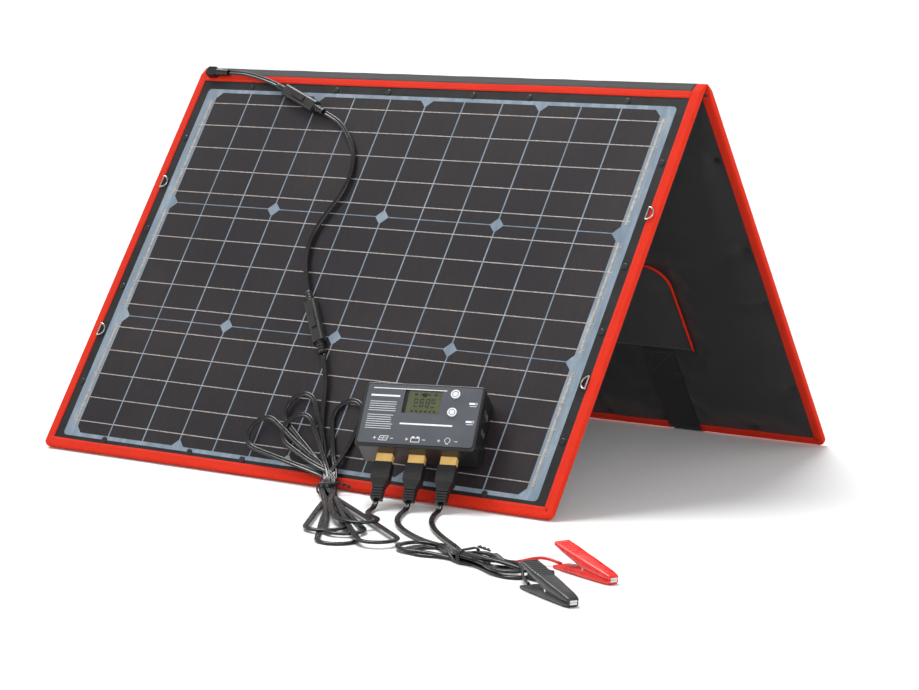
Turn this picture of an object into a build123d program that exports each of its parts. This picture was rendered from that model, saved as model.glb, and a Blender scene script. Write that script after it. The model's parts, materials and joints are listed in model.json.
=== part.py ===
"""Folding camping solar panel: two cell panels standing as a tent, with their
charge controller, leads and battery clips.

Frame: millimetres, +X along the ridge, +Z up, origin on the ground under the
middle of the ridge. The front panel leans towards -Y, the back panel towards +Y.
"""
import os
from math import cos, pi, radians, sin, tan

from build123d import *

# ---------------------------------------------------------------- panels
PANEL_WIDTH = 730.0
PANEL_LENGTH = 530.0
TENT_ANGLE = 67.0
CLOTH = 0.8
BOARD = 3.0
LAMINATE = 2.0
CORE = CLOTH + BOARD + LAMINATE
TAPE = 0.9
TAPE_WIDTH = 12.0
EDGE_WALL = 4.0
CORNER_RADIUS = 8.0
SPINE_WIDTH = 12.0
SPINE_EDGE = 1.2
RIDGE_GAP = 0.3
INNER_TAPE_START = 20.0
RIDGE_TAPE_END = 21.0

LEAN = radians(TENT_ANGLE / 2)
RIDGE_HEIGHT = PANEL_LENGTH * cos(LEAN) + TAPE * sin(LEAN)
HALF_WIDTH = PANEL_WIDTH / 2
TAPE_INNER_X = HALF_WIDTH - TAPE_WIDTH
TAPE_INNER_S = PANEL_LENGTH - TAPE_WIDTH

# ---------------------------------------------------------------- cells
CELL_COLUMNS = 4
STRIPS_PER_CELL = 3
CELL_ROWS = 3
COLUMN_PITCH = 162.2
ROW_PITCH = 157.3
STRIP_WIDTH = 52.0
CELL_HEIGHT = 156.0
CELL_THICKNESS = 0.3
CELL_CHAMFER = 8.0
CELLS_TOP = 37.0
CELLS_LEFT = -CELL_COLUMNS * COLUMN_PITCH / 2

# ---------------------------------------------------------------- rivets and rings
RIVET_HEAD = 3.8
RIVET_SHANK = 2.0
RIVET_DOME = 1.4
RIVET_BACK = 1.0
RIVET_X = (62.0, 141.0, 274.0)
RIVET_TOP_S = 28.0
RIVET_BOTTOM_S = 513.0
RIVET_SIDE_X = 346.0
RIVET_SIDE_S = (104.0, 233.0, 313.0, 443.0)

RING_WIRE = 0.9
RING_RADIUS = 7.5
RING_BAR_X = 352.0
RING_BAR_N = 8.4
RING_LEVELS = {"upper": 168.0, "lower": 374.0}
RING_LOOP_LENGTH = 9.0
RING_LOOP_RADIUS = 1.9
RING_RUNNING_FIT = 0.07
RING_OUT_ANGLE = -3.0
RING_IN_ANGLE = 189.0
RINGS_TURNED_OUT = (("front", "right", "upper"), ("back", "right", "lower"))

# ---------------------------------------------------------------- sewn-on pieces
POCKET_HALF_WIDTH = 223.0
POCKET_TOP_S = 266.0
POCKET_BOTTOM_S = 395.0
POCKET_DEPTH = 10.2
POCKET_WALL = 1.2
POCKET_RADIUS = 32.0
POCKET_MOUTH_HALF = 188.0
PIPING_RADIUS = 1.6

WEBBING = 1.6
STRAP_WIDTH = 45.0
STRAP_CENTRE_X = 169.5
HANDLE_REACH_Y = 346.0
HANDLE_BAR_WIDTH = 23.0

JUNCTION_BOX = (65.0, 40.0, 9.0)
JUNCTION_CENTRE = (-290.0, 120.0)

# ---------------------------------------------------------------- controller
BOX_WIDTH = 133.0
BOX_HEIGHT = 78.0
BOX_DEPTH = 35.0
BOX_WALL = 2.2
BOX_SPLIT = 24.0
BOX_YAW = radians(20.0)
BOX_LEAN = radians(38.0)
BOX_BACK_CENTRE = (190.0, -276.6, 74.0)
FACEPLATE = (127.0, 71.5, 0.5)
BOARD_SIZE = (122.0, 60.0, 1.6)
BOARD_LEVEL = 8.0
SCREEN = (41.4, 29.0)
SCREEN_CENTRE = (-0.9, 17.0)
KEY_RADIUS = 5.3
KEY_GAP = 0.3
KEY_X = 34.3
KEY_LEVELS = {"upper": 28.0, "lower": 6.0}
KEY_TRAVEL = 1.0
USB_LEVELS = (14.0, -8.0)
USB_SHELL = (14.0, 6.6, 13.2)
USB_MOUTH = (5.2, 12.2)
USB_CENTRE_Z = 16.4
PORT_PITCH = 35.5
PORT_SIZE = (18.0, 9.6)
PORT_CENTRE_Z = 15.0
PORT_OUTSIDE = 10.0
PORT_INSIDE = 12.0
PLUG_NAMES = ("solar", "battery", "load")

# ---------------------------------------------------------------- leads
LEAD_D = 6.0
WIRE_D = 3.2
LEAD_ON_PANEL_N = 9.6
CONNECTOR_N = 12.0
CONNECTOR_BODY = (30.0, 15.0, 11.0)
CONNECTOR_RELIEF = 16.0
CONNECTOR_HALF = CONNECTOR_BODY[0] + CONNECTOR_RELIEF
CONNECTORS = {
    "ridge": ((-184.0, 45.0), (0.929, 0.370)),
    "lower": ((-30.0, 338.0), (0.586, 0.810)),
}
HANK_BOTTOM = 1.2
HANK_THICKNESS = 11.0
HANK_ON_PANEL_N = 7.6
SOLAR_TIE = (88.0, -322.0)
SOLAR_HANK_ANGLE = -48.0
BATTERY_TIE = (412.0, -508.0)
BATTERY_HANK_ANGLE = -12.5

# ---------------------------------------------------------------- battery clips
CLIP_WIDTH = 18.0
CLIP_JAW = 38.0
CLIP_HANDLE = 48.0
CLIP_TIP = 5.0
CLIP_END = 13.5
CLIP_HANDLE_ANGLE = 11.5
CLIP_GAP = 0.3
CLIP_EAR = 4.5
CLIP_EAR_ROOM = 5.2
CLIP_PIN = 1.5
CLIP_PIN_FIT = 0.06
CLIPS = {"red": ((540.0, -490.0), -22.0), "black": ((563.5, -586.0), -28.0)}


# ================================================================ helpers
def panel_plane(side):
    """A panel's own frame: x along the ridge, y up the slope, z out of the cell face."""
    facing = -1 if side == "front" else 1
    return Plane(
        origin=(0, 0, RIDGE_HEIGHT),
        x_dir=(-facing, 0, 0),
        z_dir=(0, facing * cos(LEAN), sin(LEAN)),
    )


def on_panel(shape, side):
    return panel_plane(side).location * shape


def on_front(x, s, n):
    """World point on the front panel: x along the ridge, s down the slope, n outward."""
    point = panel_plane("front").location * Pos(x, -s, n)
    return tuple(point.position)


def block(x, y, z):
    """A box between the low and high values given for each axis."""
    size = [high - low for low, high in (x, y, z)]
    centre = [(high + low) / 2 for low, high in (x, y, z)]
    return Pos(*centre) * Box(*size)


def slab(x, s, n):
    """A box in a panel's frame, where s counts down the slope from the ridge."""
    return block(x, (-s[1], -s[0]), n)


def slope_prism(points, x):
    """A profile drawn in (s, n) and stretched along the ridge between two x values."""
    outline = Plane.YZ * Polygon(*[(-s, n) for s, n in points], align=None)
    return Pos(x[0], 0, 0) * extrude(outline, x[1] - x[0], dir=(1, 0, 0))


def peg(radius, z, at=(0, 0)):
    """An upright cylinder between two z values."""
    return Pos(at[0], at[1], (z[0] + z[1]) / 2) * Cylinder(radius, z[1] - z[0])


def cross_peg(radius, y, at=(0, 0)):
    """A cylinder along y between two y values, centred at (x, z)."""
    turned = Rot(90, 0, 0) * Cylinder(radius, y[1] - y[0])
    return Pos(at[0], (y[0] + y[1]) / 2, at[1]) * turned


def cord_tube(name, points, diameter):
    """A cord's plain tube: straight runs joined by arcs as large as the runs allow."""
    points = [Vector(*point) for point in points]
    legs = [b - a for a, b in zip(points, points[1:])]
    radii = []
    for before, after in zip(legs, legs[1:]):
        turn = radians(before.get_angle(after))
        radii.append(0.45 * min(before.length, after.length) / tan(turn / 2))
    path = FilletPolyline(*points, radius=radii)
    section = Plane(origin=points[0], z_dir=legs[0]) * Circle(diameter / 2)
    tube = sweep(section, path=path)
    drawn = pi * diameter**2 / 4 * path.length
    print(name, "length", round(path.length, 1), "radii", [round(r) for r in radii],
          "volume ratio", round(tube.volume / drawn, 4))
    return tube


def taper(width_profile, thickness_profile):
    """A bar along -y whose width (x) and thickness (z) follow two lists of (y, half size)."""
    def outline(profile):
        edge = [(half, y) for y, half in profile]
        mirrored = [(-half, y) for half, y in reversed(edge)]
        return Polygon(*edge, *mirrored, align=None)

    reach = 40.0
    wide = extrude(outline(width_profile), reach, both=True)
    thick = Rot(0, 90, 0) * extrude(outline(thickness_profile), reach, both=True)
    return wide & thick


def lobe(start, start_radius, end, end_radius):
    """Flat outline of one loop of a hank, from its tie out to its far end."""
    ends = Pos(*start) * Circle(start_radius) + Pos(*end) * Circle(end_radius)
    return make_hull(ends.edges())


# ================================================================ panel layers
def rivet_places():
    places = [(x * hand, -RIVET_TOP_S) for x in RIVET_X for hand in (-1, 1)]
    places += [(x * hand, -RIVET_BOTTOM_S) for x in RIVET_X for hand in (-1, 1)]
    places += [(RIVET_SIDE_X * hand, -s) for s in RIVET_SIDE_S for hand in (-1, 1)]
    return places


def core_sheet(low, high):
    """One full sheet of the panel, pierced for the rivets."""
    edge = HALF_WIDTH - EDGE_WALL
    sheet = slab((-edge, edge), (SPINE_WIDTH, PANEL_LENGTH - EDGE_WALL), (low, high))
    holes = [peg(RIVET_SHANK, (low - 1, high + 1), place) for place in rivet_places()]
    return sheet - holes


def case_cloth():
    return core_sheet(0, CLOTH)


def stiffener():
    return core_sheet(CLOTH, CLOTH + BOARD)


def laminate():
    return core_sheet(CLOTH + BOARD, CORE)


def strip_outline(position):
    """One third of a pseudo-square cell: the outer thirds carry the cut corners."""
    half_w = STRIP_WIDTH / 2
    half_h = CELL_HEIGHT / 2
    outline = Rectangle(STRIP_WIDTH, CELL_HEIGHT)
    if position == 1:
        return outline
    hand = -1 if position == 0 else 1
    corners = outline.vertices().filter_by(lambda v: v.X * hand > half_w - 1 and abs(v.Y) > half_h - 1)
    return chamfer(corners, CELL_CHAMFER)


def cells():
    """Every cell strip of a panel, as separate solids on the laminate."""
    strips = []
    strip_pitch = COLUMN_PITCH / STRIPS_PER_CELL
    solids = [extrude(strip_outline(i), CELL_THICKNESS) for i in range(STRIPS_PER_CELL)]
    for row in range(CELL_ROWS):
        y = -(CELLS_TOP + row * ROW_PITCH + ROW_PITCH / 2)
        for column in range(CELL_COLUMNS * STRIPS_PER_CELL):
            x = CELLS_LEFT + (column + 0.5) * strip_pitch
            strips.append(Pos(x, y, CORE) * solids[column % STRIPS_PER_CELL])
    return Compound(children=strips)


def ring_loop(x, s):
    """The stitched loop on the binding's inner edge that holds one ring's bar."""
    half = RING_LOOP_LENGTH / 2
    y = (-s - half, -s + half)
    loop = cross_peg(RING_LOOP_RADIUS, y, (x, RING_BAR_N))
    loop += block((x - RING_LOOP_RADIUS, x + RING_LOOP_RADIUS), y, (CORE, RING_BAR_N))
    bore = cross_peg(RING_WIRE + RING_RUNNING_FIT, (y[0] - 1, y[1] + 1), (x, RING_BAR_N))
    return loop, bore


def binding(side):
    """The sewn edging tape: a U round both sides and the bottom, and a strip by the ridge."""
    bottom = PANEL_LENGTH
    low, high = -TAPE, CORE + TAPE
    frame = slab((-HALF_WIDTH, HALF_WIDTH), (SPINE_WIDTH, bottom), (low, high))
    corners = frame.edges().filter_by(Axis.Z).group_by(Axis.Y)[0]
    frame = fillet(corners, CORNER_RADIUS)
    edge = HALF_WIDTH - EDGE_WALL
    frame -= slab((-edge, edge), (SPINE_WIDTH - 1, bottom - EDGE_WALL), (0, CORE))
    inside = (-TAPE_INNER_X, TAPE_INNER_X)
    frame -= slab(inside, (RIDGE_TAPE_END, TAPE_INNER_S), (CORE - 1, high + 1))
    frame -= slab(inside, (0, TAPE_INNER_S), (low - 1, 1))
    frame -= slab((-HALF_WIDTH - 1, HALF_WIDTH + 1), (0, INNER_TAPE_START), (low - 1, 0))
    rise = [(RIDGE_GAP, 0), (RIDGE_GAP, SPINE_EDGE + TAPE), (SPINE_WIDTH, high), (SPINE_WIDTH, 0)]
    for x in ((-HALF_WIDTH, -TAPE_INNER_X), (TAPE_INNER_X, HALF_WIDTH)):
        frame += slope_prism(rise, x)
    for hand in (-1, 1):
        for s in RING_LEVELS.values():
            loop, bore = ring_loop(hand * RING_BAR_X, s)
            frame = frame + loop - bore
    if side == "back":
        for hand in (-1, 1):
            frame -= strap_notch(hand)
    return frame


def strap_notch(hand):
    """Where a webbing strap passes over the bottom edge, the binding gives way to it."""
    room = STRAP_WIDTH / 2 + 0.3
    x = (hand * STRAP_CENTRE_X - room, hand * STRAP_CENTRE_X + room)
    over_edge = slab(x, (PANEL_LENGTH - 2.4, PANEL_LENGTH + 1), (-TAPE - 1, CORE + TAPE + 1))
    inner_leg = slab(x, (TAPE_INNER_S - 1, PANEL_LENGTH + 1), (-TAPE - 1, 0))
    return over_edge + inner_leg


def rivets():
    """Black rivets through all the layers, with a low dome outside and a cap inside."""
    group = []
    for place in rivet_places():
        dome = peg(RIVET_HEAD, (CORE, CORE + RIVET_DOME), place)
        dome = fillet(dome.faces().sort_by(Axis.Z)[-1].edges(), RIVET_DOME * 0.8)
        cap = peg(RIVET_HEAD, (-RIVET_BACK, 0), place)
        group.append(dome + peg(RIVET_SHANK, (0, CORE), place) + cap)
    return Compound(children=group)


def spine():
    """Half of the cloth hinge: thick where it is sewn in, thin at the crease."""
    profile = [(RIDGE_GAP, 0), (RIDGE_GAP, SPINE_EDGE), (SPINE_WIDTH, CORE), (SPINE_WIDTH, 0)]
    return slope_prism(profile, (-TAPE_INNER_X, TAPE_INNER_X))


def ring_angle(key):
    return RING_OUT_ANGLE if key in RINGS_TURNED_OUT else RING_IN_ANGLE


def ring_hand(side, hand):
    """Which way world right or left lies in the panel's own x."""
    facing = 1 if side == "front" else -1
    return facing if hand == "right" else -facing


def ring(side, hand, level):
    """A D-shaped wire ring, turned about its bar from lying outward to lying inward."""
    arc = Rot(0, 0, -90) * Torus(RING_RADIUS, RING_WIRE, major_angle=180, align=None)
    shape = arc + cross_peg(RING_WIRE, (-RING_RADIUS, RING_RADIUS))
    for end in (-RING_RADIUS, RING_RADIUS):
        shape += Pos(0, end, 0) * Sphere(RING_WIRE)
    shape = Rot(0, -ring_angle((side, hand, level)), 0) * shape
    outward = ring_hand(side, hand)
    if outward < 0:
        shape = mirror(shape, about=Plane.YZ)
    return Pos(outward * RING_BAR_X, -RING_LEVELS[level], RING_BAR_N) * shape


# ================================================================ sewn-on pieces
def pocket_outline(inset=0.0):
    half = POCKET_HALF_WIDTH - inset
    height = POCKET_BOTTOM_S - POCKET_TOP_S - 2 * inset
    outline = Rectangle(2 * half, height)
    top = outline.vertices().group_by(Axis.Y)[-1]
    outline = fillet(top, POCKET_RADIUS - inset)
    return Pos(0, -(POCKET_TOP_S + POCKET_BOTTOM_S) / 2, 0) * outline


def pocket():
    """The document pocket on the inner face: a shallow cloth tray with its mouth upward."""
    shell = extrude(Pos(0, 0, -POCKET_DEPTH) * pocket_outline(), POCKET_DEPTH - 0.05)
    inside = extrude(Pos(0, 0, POCKET_WALL - POCKET_DEPTH) * pocket_outline(POCKET_WALL), POCKET_DEPTH)
    mouth_x = (-POCKET_MOUTH_HALF, POCKET_MOUTH_HALF)
    mouth_s = (POCKET_TOP_S - 2, POCKET_TOP_S + 2 * POCKET_WALL)
    mouth = slab(mouth_x, mouth_s, (POCKET_WALL - POCKET_DEPTH, 1))
    return shell - inside - mouth


def pocket_piping():
    """The round edging up one side of the pocket, over the top and down the other side."""
    drop = PIPING_RADIUS + 0.1
    half = POCKET_HALF_WIDTH + drop
    top = -(POCKET_TOP_S - drop)
    bottom = -POCKET_BOTTOM_S
    level = PIPING_RADIUS - POCKET_DEPTH
    points = [(-half, bottom, level), (-half, top, level), (half, top, level), (half, bottom, level)]
    path = FilletPolyline(*points, radius=POCKET_RADIUS + drop)
    section = Plane(origin=points[0], z_dir=(0, 1, 0)) * Circle(PIPING_RADIUS)
    return sweep(section, path=path)


def slope_point(s, n):
    """World (y, z) of a point on the back panel."""
    return s * sin(LEAN) + n * cos(LEAN), RIDGE_HEIGHT - s * cos(LEAN) + n * sin(LEAN)


def carry_handle():
    """Two webbing straps down the inner face, joined by a grip that lies on the ground."""
    clear = 0.1
    far = clear + WEBBING
    ground_s = (RIDGE_HEIGHT - far * sin(LEAN) - clear) / cos(LEAN)
    turn_s = (RIDGE_HEIGHT - clear * sin(LEAN) - far) / cos(LEAN)
    bar_y = HANDLE_REACH_Y - HANDLE_BAR_WIDTH
    profile = [
        slope_point(POCKET_BOTTOM_S + 2, -clear),
        slope_point(POCKET_BOTTOM_S + 2, -far),
        slope_point(ground_s, -far),
        (bar_y, clear),
        (bar_y, far),
        slope_point(turn_s, -clear),
    ]
    side_view = Plane.YZ * Polygon(*profile, align=None)
    outer_x = STRAP_CENTRE_X + STRAP_WIDTH / 2
    grip = block((-outer_x, outer_x), (bar_y - 4, HANDLE_REACH_Y), (clear, far))
    corners = grip.edges().filter_by(Axis.Z).group_by(Axis.Y)[-1]
    grip = fillet(corners, HANDLE_BAR_WIDTH * 0.8)
    for hand in (-1, 1):
        start = hand * STRAP_CENTRE_X - STRAP_WIDTH / 2
        grip += Pos(start, 0, 0) * extrude(side_view, STRAP_WIDTH, dir=(1, 0, 0))
    return grip


def junction_box():
    """Potted box with the bypass diodes, on the front panel's inner face."""
    width, height, depth = JUNCTION_BOX
    x, s = JUNCTION_CENTRE
    box = Pos(x, -s, -depth / 2 - 0.1) * Box(width, height, depth)
    return fillet(box.edges().filter_by(Axis.Z), 4.0)


def lead_gland():
    """Rubber boot by the ridge, where the panel's own lead comes out along the spine."""
    x, s, n = GLAND_EXIT
    base = block((x - 34, x - 18), (-s - 6, -s + 6), (CORE + TAPE + 0.1, n + 3.4))
    base = fillet(base.edges().filter_by(Axis.Z), 3.0)
    sleeve = Pos(x - 9, -s, n) * Rot(0, 90, 0) * Cone(4.8, 3.7, 18)
    floor = block((x - 40, x + 5), (-s - 9, -s + 9), (0, CORE + TAPE + 0.1))
    return base + (sleeve - floor)


# ================================================================ controller
def controller_plane():
    """The controller's frame: origin at the middle of its back, z out of its face."""
    across = (cos(BOX_YAW), sin(BOX_YAW), 0)
    out = (sin(BOX_YAW) * cos(BOX_LEAN), -cos(BOX_YAW) * cos(BOX_LEAN), sin(BOX_LEAN))
    return Plane(origin=BOX_BACK_CENTRE, x_dir=across, z_dir=out)


def on_controller(shape):
    return controller_plane().location * shape


def box_blank(low, high, wall=0.0):
    blank = Box(BOX_WIDTH - 2 * wall, BOX_HEIGHT - 2 * wall, high - low)
    blank = fillet(blank.edges().filter_by(Axis.Z), 5.0 - wall)
    return Pos(0, 0, (low + high) / 2) * blank


def port_blocks(grow=0.0):
    """The three power sockets, or with grow their room in the wall."""
    half_x = PORT_SIZE[0] / 2 + grow
    half_z = PORT_SIZE[1] / 2 + grow
    bottom = -BOX_HEIGHT / 2
    y = (bottom - PORT_OUTSIDE, bottom + PORT_INSIDE)
    blocks = []
    for x in (-PORT_PITCH, 0, PORT_PITCH):
        z = (PORT_CENTRE_Z - half_z, PORT_CENTRE_Z + half_z)
        blocks.append(block((x - half_x, x + half_x), y, z))
    return blocks


def usb_blocks(grow=0.0):
    length, height, width = USB_SHELL
    right = BOX_WIDTH / 2
    blocks = []
    for y in USB_LEVELS:
        centre = Pos(right - length / 2 + 0.2, y, USB_CENTRE_Z)
        blocks.append(centre * Box(length, height + 2 * grow, width + 2 * grow))
    return blocks


def controller_back_shell():
    shell = box_blank(0, BOX_SPLIT) - box_blank(BOX_WALL, BOX_SPLIT + 1, BOX_WALL)
    shell -= port_blocks(0.05)
    shell -= usb_blocks(0.05)
    return shell


def controller_front_shell():
    shell = box_blank(BOX_SPLIT + 0.1, BOX_DEPTH)
    outer_rim = shell.faces().sort_by(Axis.Z)[-1].edges()
    shell = fillet(outer_rim, 1.5)
    shell -= box_blank(BOX_SPLIT, BOX_DEPTH - BOX_WALL, BOX_WALL)
    shell -= screen_block(BOX_DEPTH - 5, BOX_DEPTH + 1)
    for y in KEY_LEVELS.values():
        shell -= peg(KEY_RADIUS + KEY_GAP, (BOX_DEPTH - 5, BOX_DEPTH + 1), (KEY_X, y))
    return shell


def screen_block(low, high, inset=0.0):
    width, height = SCREEN
    x, y = SCREEN_CENTRE
    return Pos(x, y, (low + high) / 2) * Box(width - 2 * inset, height - 2 * inset, high - low)


def controller_faceplate():
    width, height, thick = FACEPLATE
    plate = Box(width, height, thick)
    plate = fillet(plate.edges().filter_by(Axis.Z), 3.0)
    plate = Pos(0, 0.5, BOX_DEPTH + thick / 2) * plate
    plate -= screen_block(BOX_DEPTH - 1, BOX_DEPTH + 2)
    for y in KEY_LEVELS.values():
        plate -= peg(KEY_RADIUS + KEY_GAP, (BOX_DEPTH - 1, BOX_DEPTH + 2), (KEY_X, y))
    return plate


def controller_board():
    width, height, thick = BOARD_SIZE
    return Pos(0, 4.5, BOARD_LEVEL + thick / 2) * Box(width, height, thick)


def controller_display():
    """The display module: its glass stands in the window, its frame is behind the shell."""
    glass = screen_block(BOX_DEPTH - 5, BOX_DEPTH - 0.8, 0.2)
    return glass + screen_block(BOX_DEPTH - 9, BOX_DEPTH - 5, -2.4)


def controller_key(level):
    """A round key: cap through the face, flange behind it and a stem down to its switch."""
    at = (KEY_X, KEY_LEVELS[level])
    under_wall = BOX_DEPTH - BOX_WALL
    cap = peg(KEY_RADIUS, (under_wall - 1, BOX_DEPTH + 1.6), at)
    cap = fillet(cap.faces().sort_by(Axis.Z)[-1].edges(), 0.7)
    flange = peg(KEY_RADIUS + 1.4, (under_wall - 1.6, under_wall - 0.4), at)
    board_top = BOARD_LEVEL + BOARD_SIZE[2]
    stem = peg(2.0, (board_top + KEY_TRAVEL + 0.3, under_wall - 1), at)
    return cap + flange + stem


def usb_sockets():
    """Two metal charging sockets in the controller's right side."""
    length = USB_SHELL[0]
    short, long = USB_MOUTH
    sockets = []
    for shell in usb_blocks():
        mouth = Pos(*shell.center()) * Pos(1.0, 0, 0) * Box(length, short, long)
        sockets.append(shell - mouth)
    return Compound(children=sockets)


def power_sockets():
    rounded = [fillet(port.edges().filter_by(Axis.Y), 1.5) for port in port_blocks()]
    return Compound(children=rounded)


def plug(index):
    """A moulded plug: body, shoulders and a ribbed strain relief, in the box's frame."""
    top = -BOX_HEIGHT / 2 - PORT_OUTSIDE - 0.1
    body, shoulder, relief = top - 19.5, top - 28.0, top - 43.0
    width = [(top, 10.0), (body, 10.0), (shoulder, 6.5), (relief, 6.0)]
    thickness = [(top, 5.8), (body, 5.8), (shoulder, 4.6), (relief, 4.2)]
    shape = taper(width, thickness)
    for rib in range(4):
        y = shoulder - 3.0 - rib * 3.2
        groove = block((-8, 8), (y - 0.6, y + 0.6), (-8, 8)) - block((-5.2, 5.2), (y - 1, y + 1), (-3.4, 3.4))
        shape -= groove
    x = (index - 1) * PORT_PITCH
    return Pos(x, 0, PORT_CENTRE_Z) * shape


def plug_end(index, beyond=0.0):
    """World point in the middle of a plug's cable end, or further out on its axis."""
    y = -BOX_HEIGHT / 2 - PORT_OUTSIDE - 43.1 - beyond
    x = (index - 1) * PORT_PITCH
    point = controller_plane().location * Pos(x, y, PORT_CENTRE_Z)
    return tuple(point.position)


# ================================================================ inline connectors
def connector_plane(name):
    (x, s), (along_x, along_s) = CONNECTORS[name]
    panel = panel_plane("front")
    along = panel.x_dir * along_x - panel.y_dir * along_s
    return Plane(origin=on_front(x, s, CONNECTOR_N), x_dir=along, z_dir=panel.z_dir)


def connector_half(direction):
    """One half of an inline connector: moulded body and ribbed relief, along +x or -x."""
    length, width, height = CONNECTOR_BODY
    body = Pos(length / 2 + 0.05, 0, 0) * Box(length - 0.1, width, height)
    body = fillet(body.edges().filter_by(Axis.X), 3.5)
    relief = Pos(length + CONNECTOR_RELIEF / 2, 0, 0) * Rot(0, 90, 0) * Cone(4.8, 3.8, CONNECTOR_RELIEF)
    shape = body + relief
    for rib in range(3):
        x = length + 3.5 + rib * 4.0
        ring_cut = Pos(x, 0, 0) * Rot(0, 90, 0) * (Cylinder(6, 1.2) - Cylinder(3.4, 1.4))
        shape -= ring_cut
    if direction < 0:
        shape = mirror(shape, about=Plane.YZ)
    return shape


def latch():
    """The clip on the connector's plug half that reaches over the socket half."""
    tongue = block((-12, 10), (-3.0, 3.0), (CONNECTOR_BODY[2] / 2 + 0.1, CONNECTOR_BODY[2] / 2 + 1.5))
    root = block((6, 10), (-3.0, 3.0), (CONNECTOR_BODY[2] / 2 - 1, CONNECTOR_BODY[2] / 2 + 1.5))
    return tongue + root


def connector(name, half):
    if half == "plug":
        shape = connector_half(1) + latch()
    else:
        shape = connector_half(-1)
    return connector_plane(name).location * shape


def connector_end(name, direction, beyond=0.0):
    """World point where a lead leaves one end of an inline connector, or further out."""
    point = connector_plane(name).location * Pos(direction * (CONNECTOR_HALF + beyond), 0, 0)
    return tuple(point.position)


# ================================================================ leads
GLAND_EXIT = (-316.0, 11.0, 11.0)


def panel_route(points):
    """A route on the front panel's face, given as (x, s, n)."""
    return [on_front(*point) for point in points]


def panel_lead():
    x, s, n = GLAND_EXIT
    start = panel_route([GLAND_EXIT, (x + 14, s, n), (x + 36, s + 1.6, n - 0.5)])
    end = [connector_end("ridge", -1, 13), connector_end("ridge", -1)]
    return cord_tube("panel_lead", start + end, LEAD_D)


def middle_lead():
    middle = [
        (-106.0, 78.0, 10.6),
        (-77.0, 107.0, LEAD_ON_PANEL_N),
        (-65.0, 137.0, 9.8),
        (-67.0, 169.0, LEAD_ON_PANEL_N),
        (-79.0, 197.0, 9.8),
        (-87.0, 225.0, LEAD_ON_PANEL_N),
        (-83.0, 255.0, 10.4),
    ]
    start = [connector_end("ridge", 1), connector_end("ridge", 1, 20)]
    end = [connector_end("lower", -1, 16), connector_end("lower", -1)]
    route = start + panel_route(middle) + end
    return cord_tube("middle_lead", route, LEAD_D)


def solar_lead():
    start = [connector_end("lower", 1), connector_end("lower", 1, 14)]
    route = start + panel_route([(17.0, 411.0, 11.0), (22.5, 430.0, 11.4), (31.0, 446.0, 12.0)])
    return cord_tube("solar_lead", route, LEAD_D)


def battery_lead():
    start = [plug_end(1), plug_end(1, 9)]
    rest = [(220.0, -359.0, 3.3), (228.0, -376.0, 3.2), (241.0, -397.0, 3.3), (262.0, -421.0, 3.2),
            (290.0, -443.0, 3.3), (324.0, -463.0, 3.3), (356.0, -477.0, 4.2)]
    return cord_tube("battery_lead", start + rest, LEAD_D)


def load_lead():
    start = [plug_end(2), plug_end(2, 9)]
    rest = [(253.5, -348.0, 3.3), (264.0, -367.0, 3.2), (280.0, -390.0, 3.3), (303.0, -415.0, 3.2),
            (332.0, -440.0, 3.3), (362.0, -463.0, 3.3), (385.0, -485.0, 4.2)]
    return cord_tube("load_lead", start + rest, LEAD_D)


def red_wire():
    rest = [(462.0, -496.0, 6.4), (466.0, -480.0, 6.8), (477.0, -468.5, 7.2)]
    return cord_tube("red_wire", [(456.0, -512.0, 6.0)] + rest + [clip_end("red")], WIRE_D)


def black_wire():
    rest = [(505.0, -548.0, 5.0), (511.5, -557.5, 6.2)]
    return cord_tube("black_wire", [(500.0, -537.0, 5.0)] + rest + [clip_end("black")], WIRE_D)


def solar_hank():
    """The bundled solar lead: loops leaning on the panel, loops on the ground, and its tail."""
    crease = (75.0, -516.0)
    upper = (
        lobe(crease, 12, (-43, -488), 17)
        + lobe(crease, 12, (-26, -433), 20)
        + lobe(crease, 12, (57, -436), 18)
    )
    leaning = extrude(Pos(0, 0, HANK_ON_PANEL_N) * upper, HANK_THICKNESS)
    leaning = on_panel(leaning, "front")
    lower = (
        lobe((78, -313), 12, SOLAR_TIE, 12)
        + lobe(SOLAR_TIE, 12, (205, -470), 19)
        + lobe(SOLAR_TIE, 12, (250, -505), 19)
        + lobe(SOLAR_TIE, 12, (290, -492), 19)
    )
    lying = extrude(Pos(0, 0, HANK_BOTTOM) * lower, HANK_THICKNESS)
    tail = [(209.0, -424.0, 5.0), (204.0, -411.0, 4.0), (196.0, -395.0, 3.3), (188.0, -376.0, 3.3),
            plug_end(0, 9), plug_end(0)]
    return leaning + lying + cord_tube("solar_hank tail", tail, LEAD_D)


def battery_hank():
    """The bundled battery and load leads: two opposite loops, tied in the middle."""
    loops = lobe((0, 0), 13, (-74, 0), 20) + lobe((0, 0), 13, (72, 0), 20)
    solid = extrude(loops, HANK_THICKNESS)
    x, y = BATTERY_TIE
    return Pos(x, y, HANK_BOTTOM) * Rot(0, 0, BATTERY_HANK_ANGLE) * solid


def cable_ties():
    """A wire tie round the waist of each hank, with its twisted ends."""
    ties = []
    for (x, y), angle in ((SOLAR_TIE, SOLAR_HANK_ANGLE), (BATTERY_TIE, BATTERY_HANK_ANGLE)):
        outer = block((-2, 2), (-15.0, 15.0), (0.05, HANK_BOTTOM + HANK_THICKNESS + 1.1))
        inner = block((-3, 3), (-14.0, 14.0), (HANK_BOTTOM - 0.1, HANK_BOTTOM + HANK_THICKNESS + 0.1))
        knot = Pos(0, -16.5, 8) * Rot(90, 0, 0) * Cylinder(1.6, 5)
        ties.append(Pos(x, y, 0) * Rot(0, 0, angle) * (outer - inner + knot))
    return Compound(children=ties)


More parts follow.
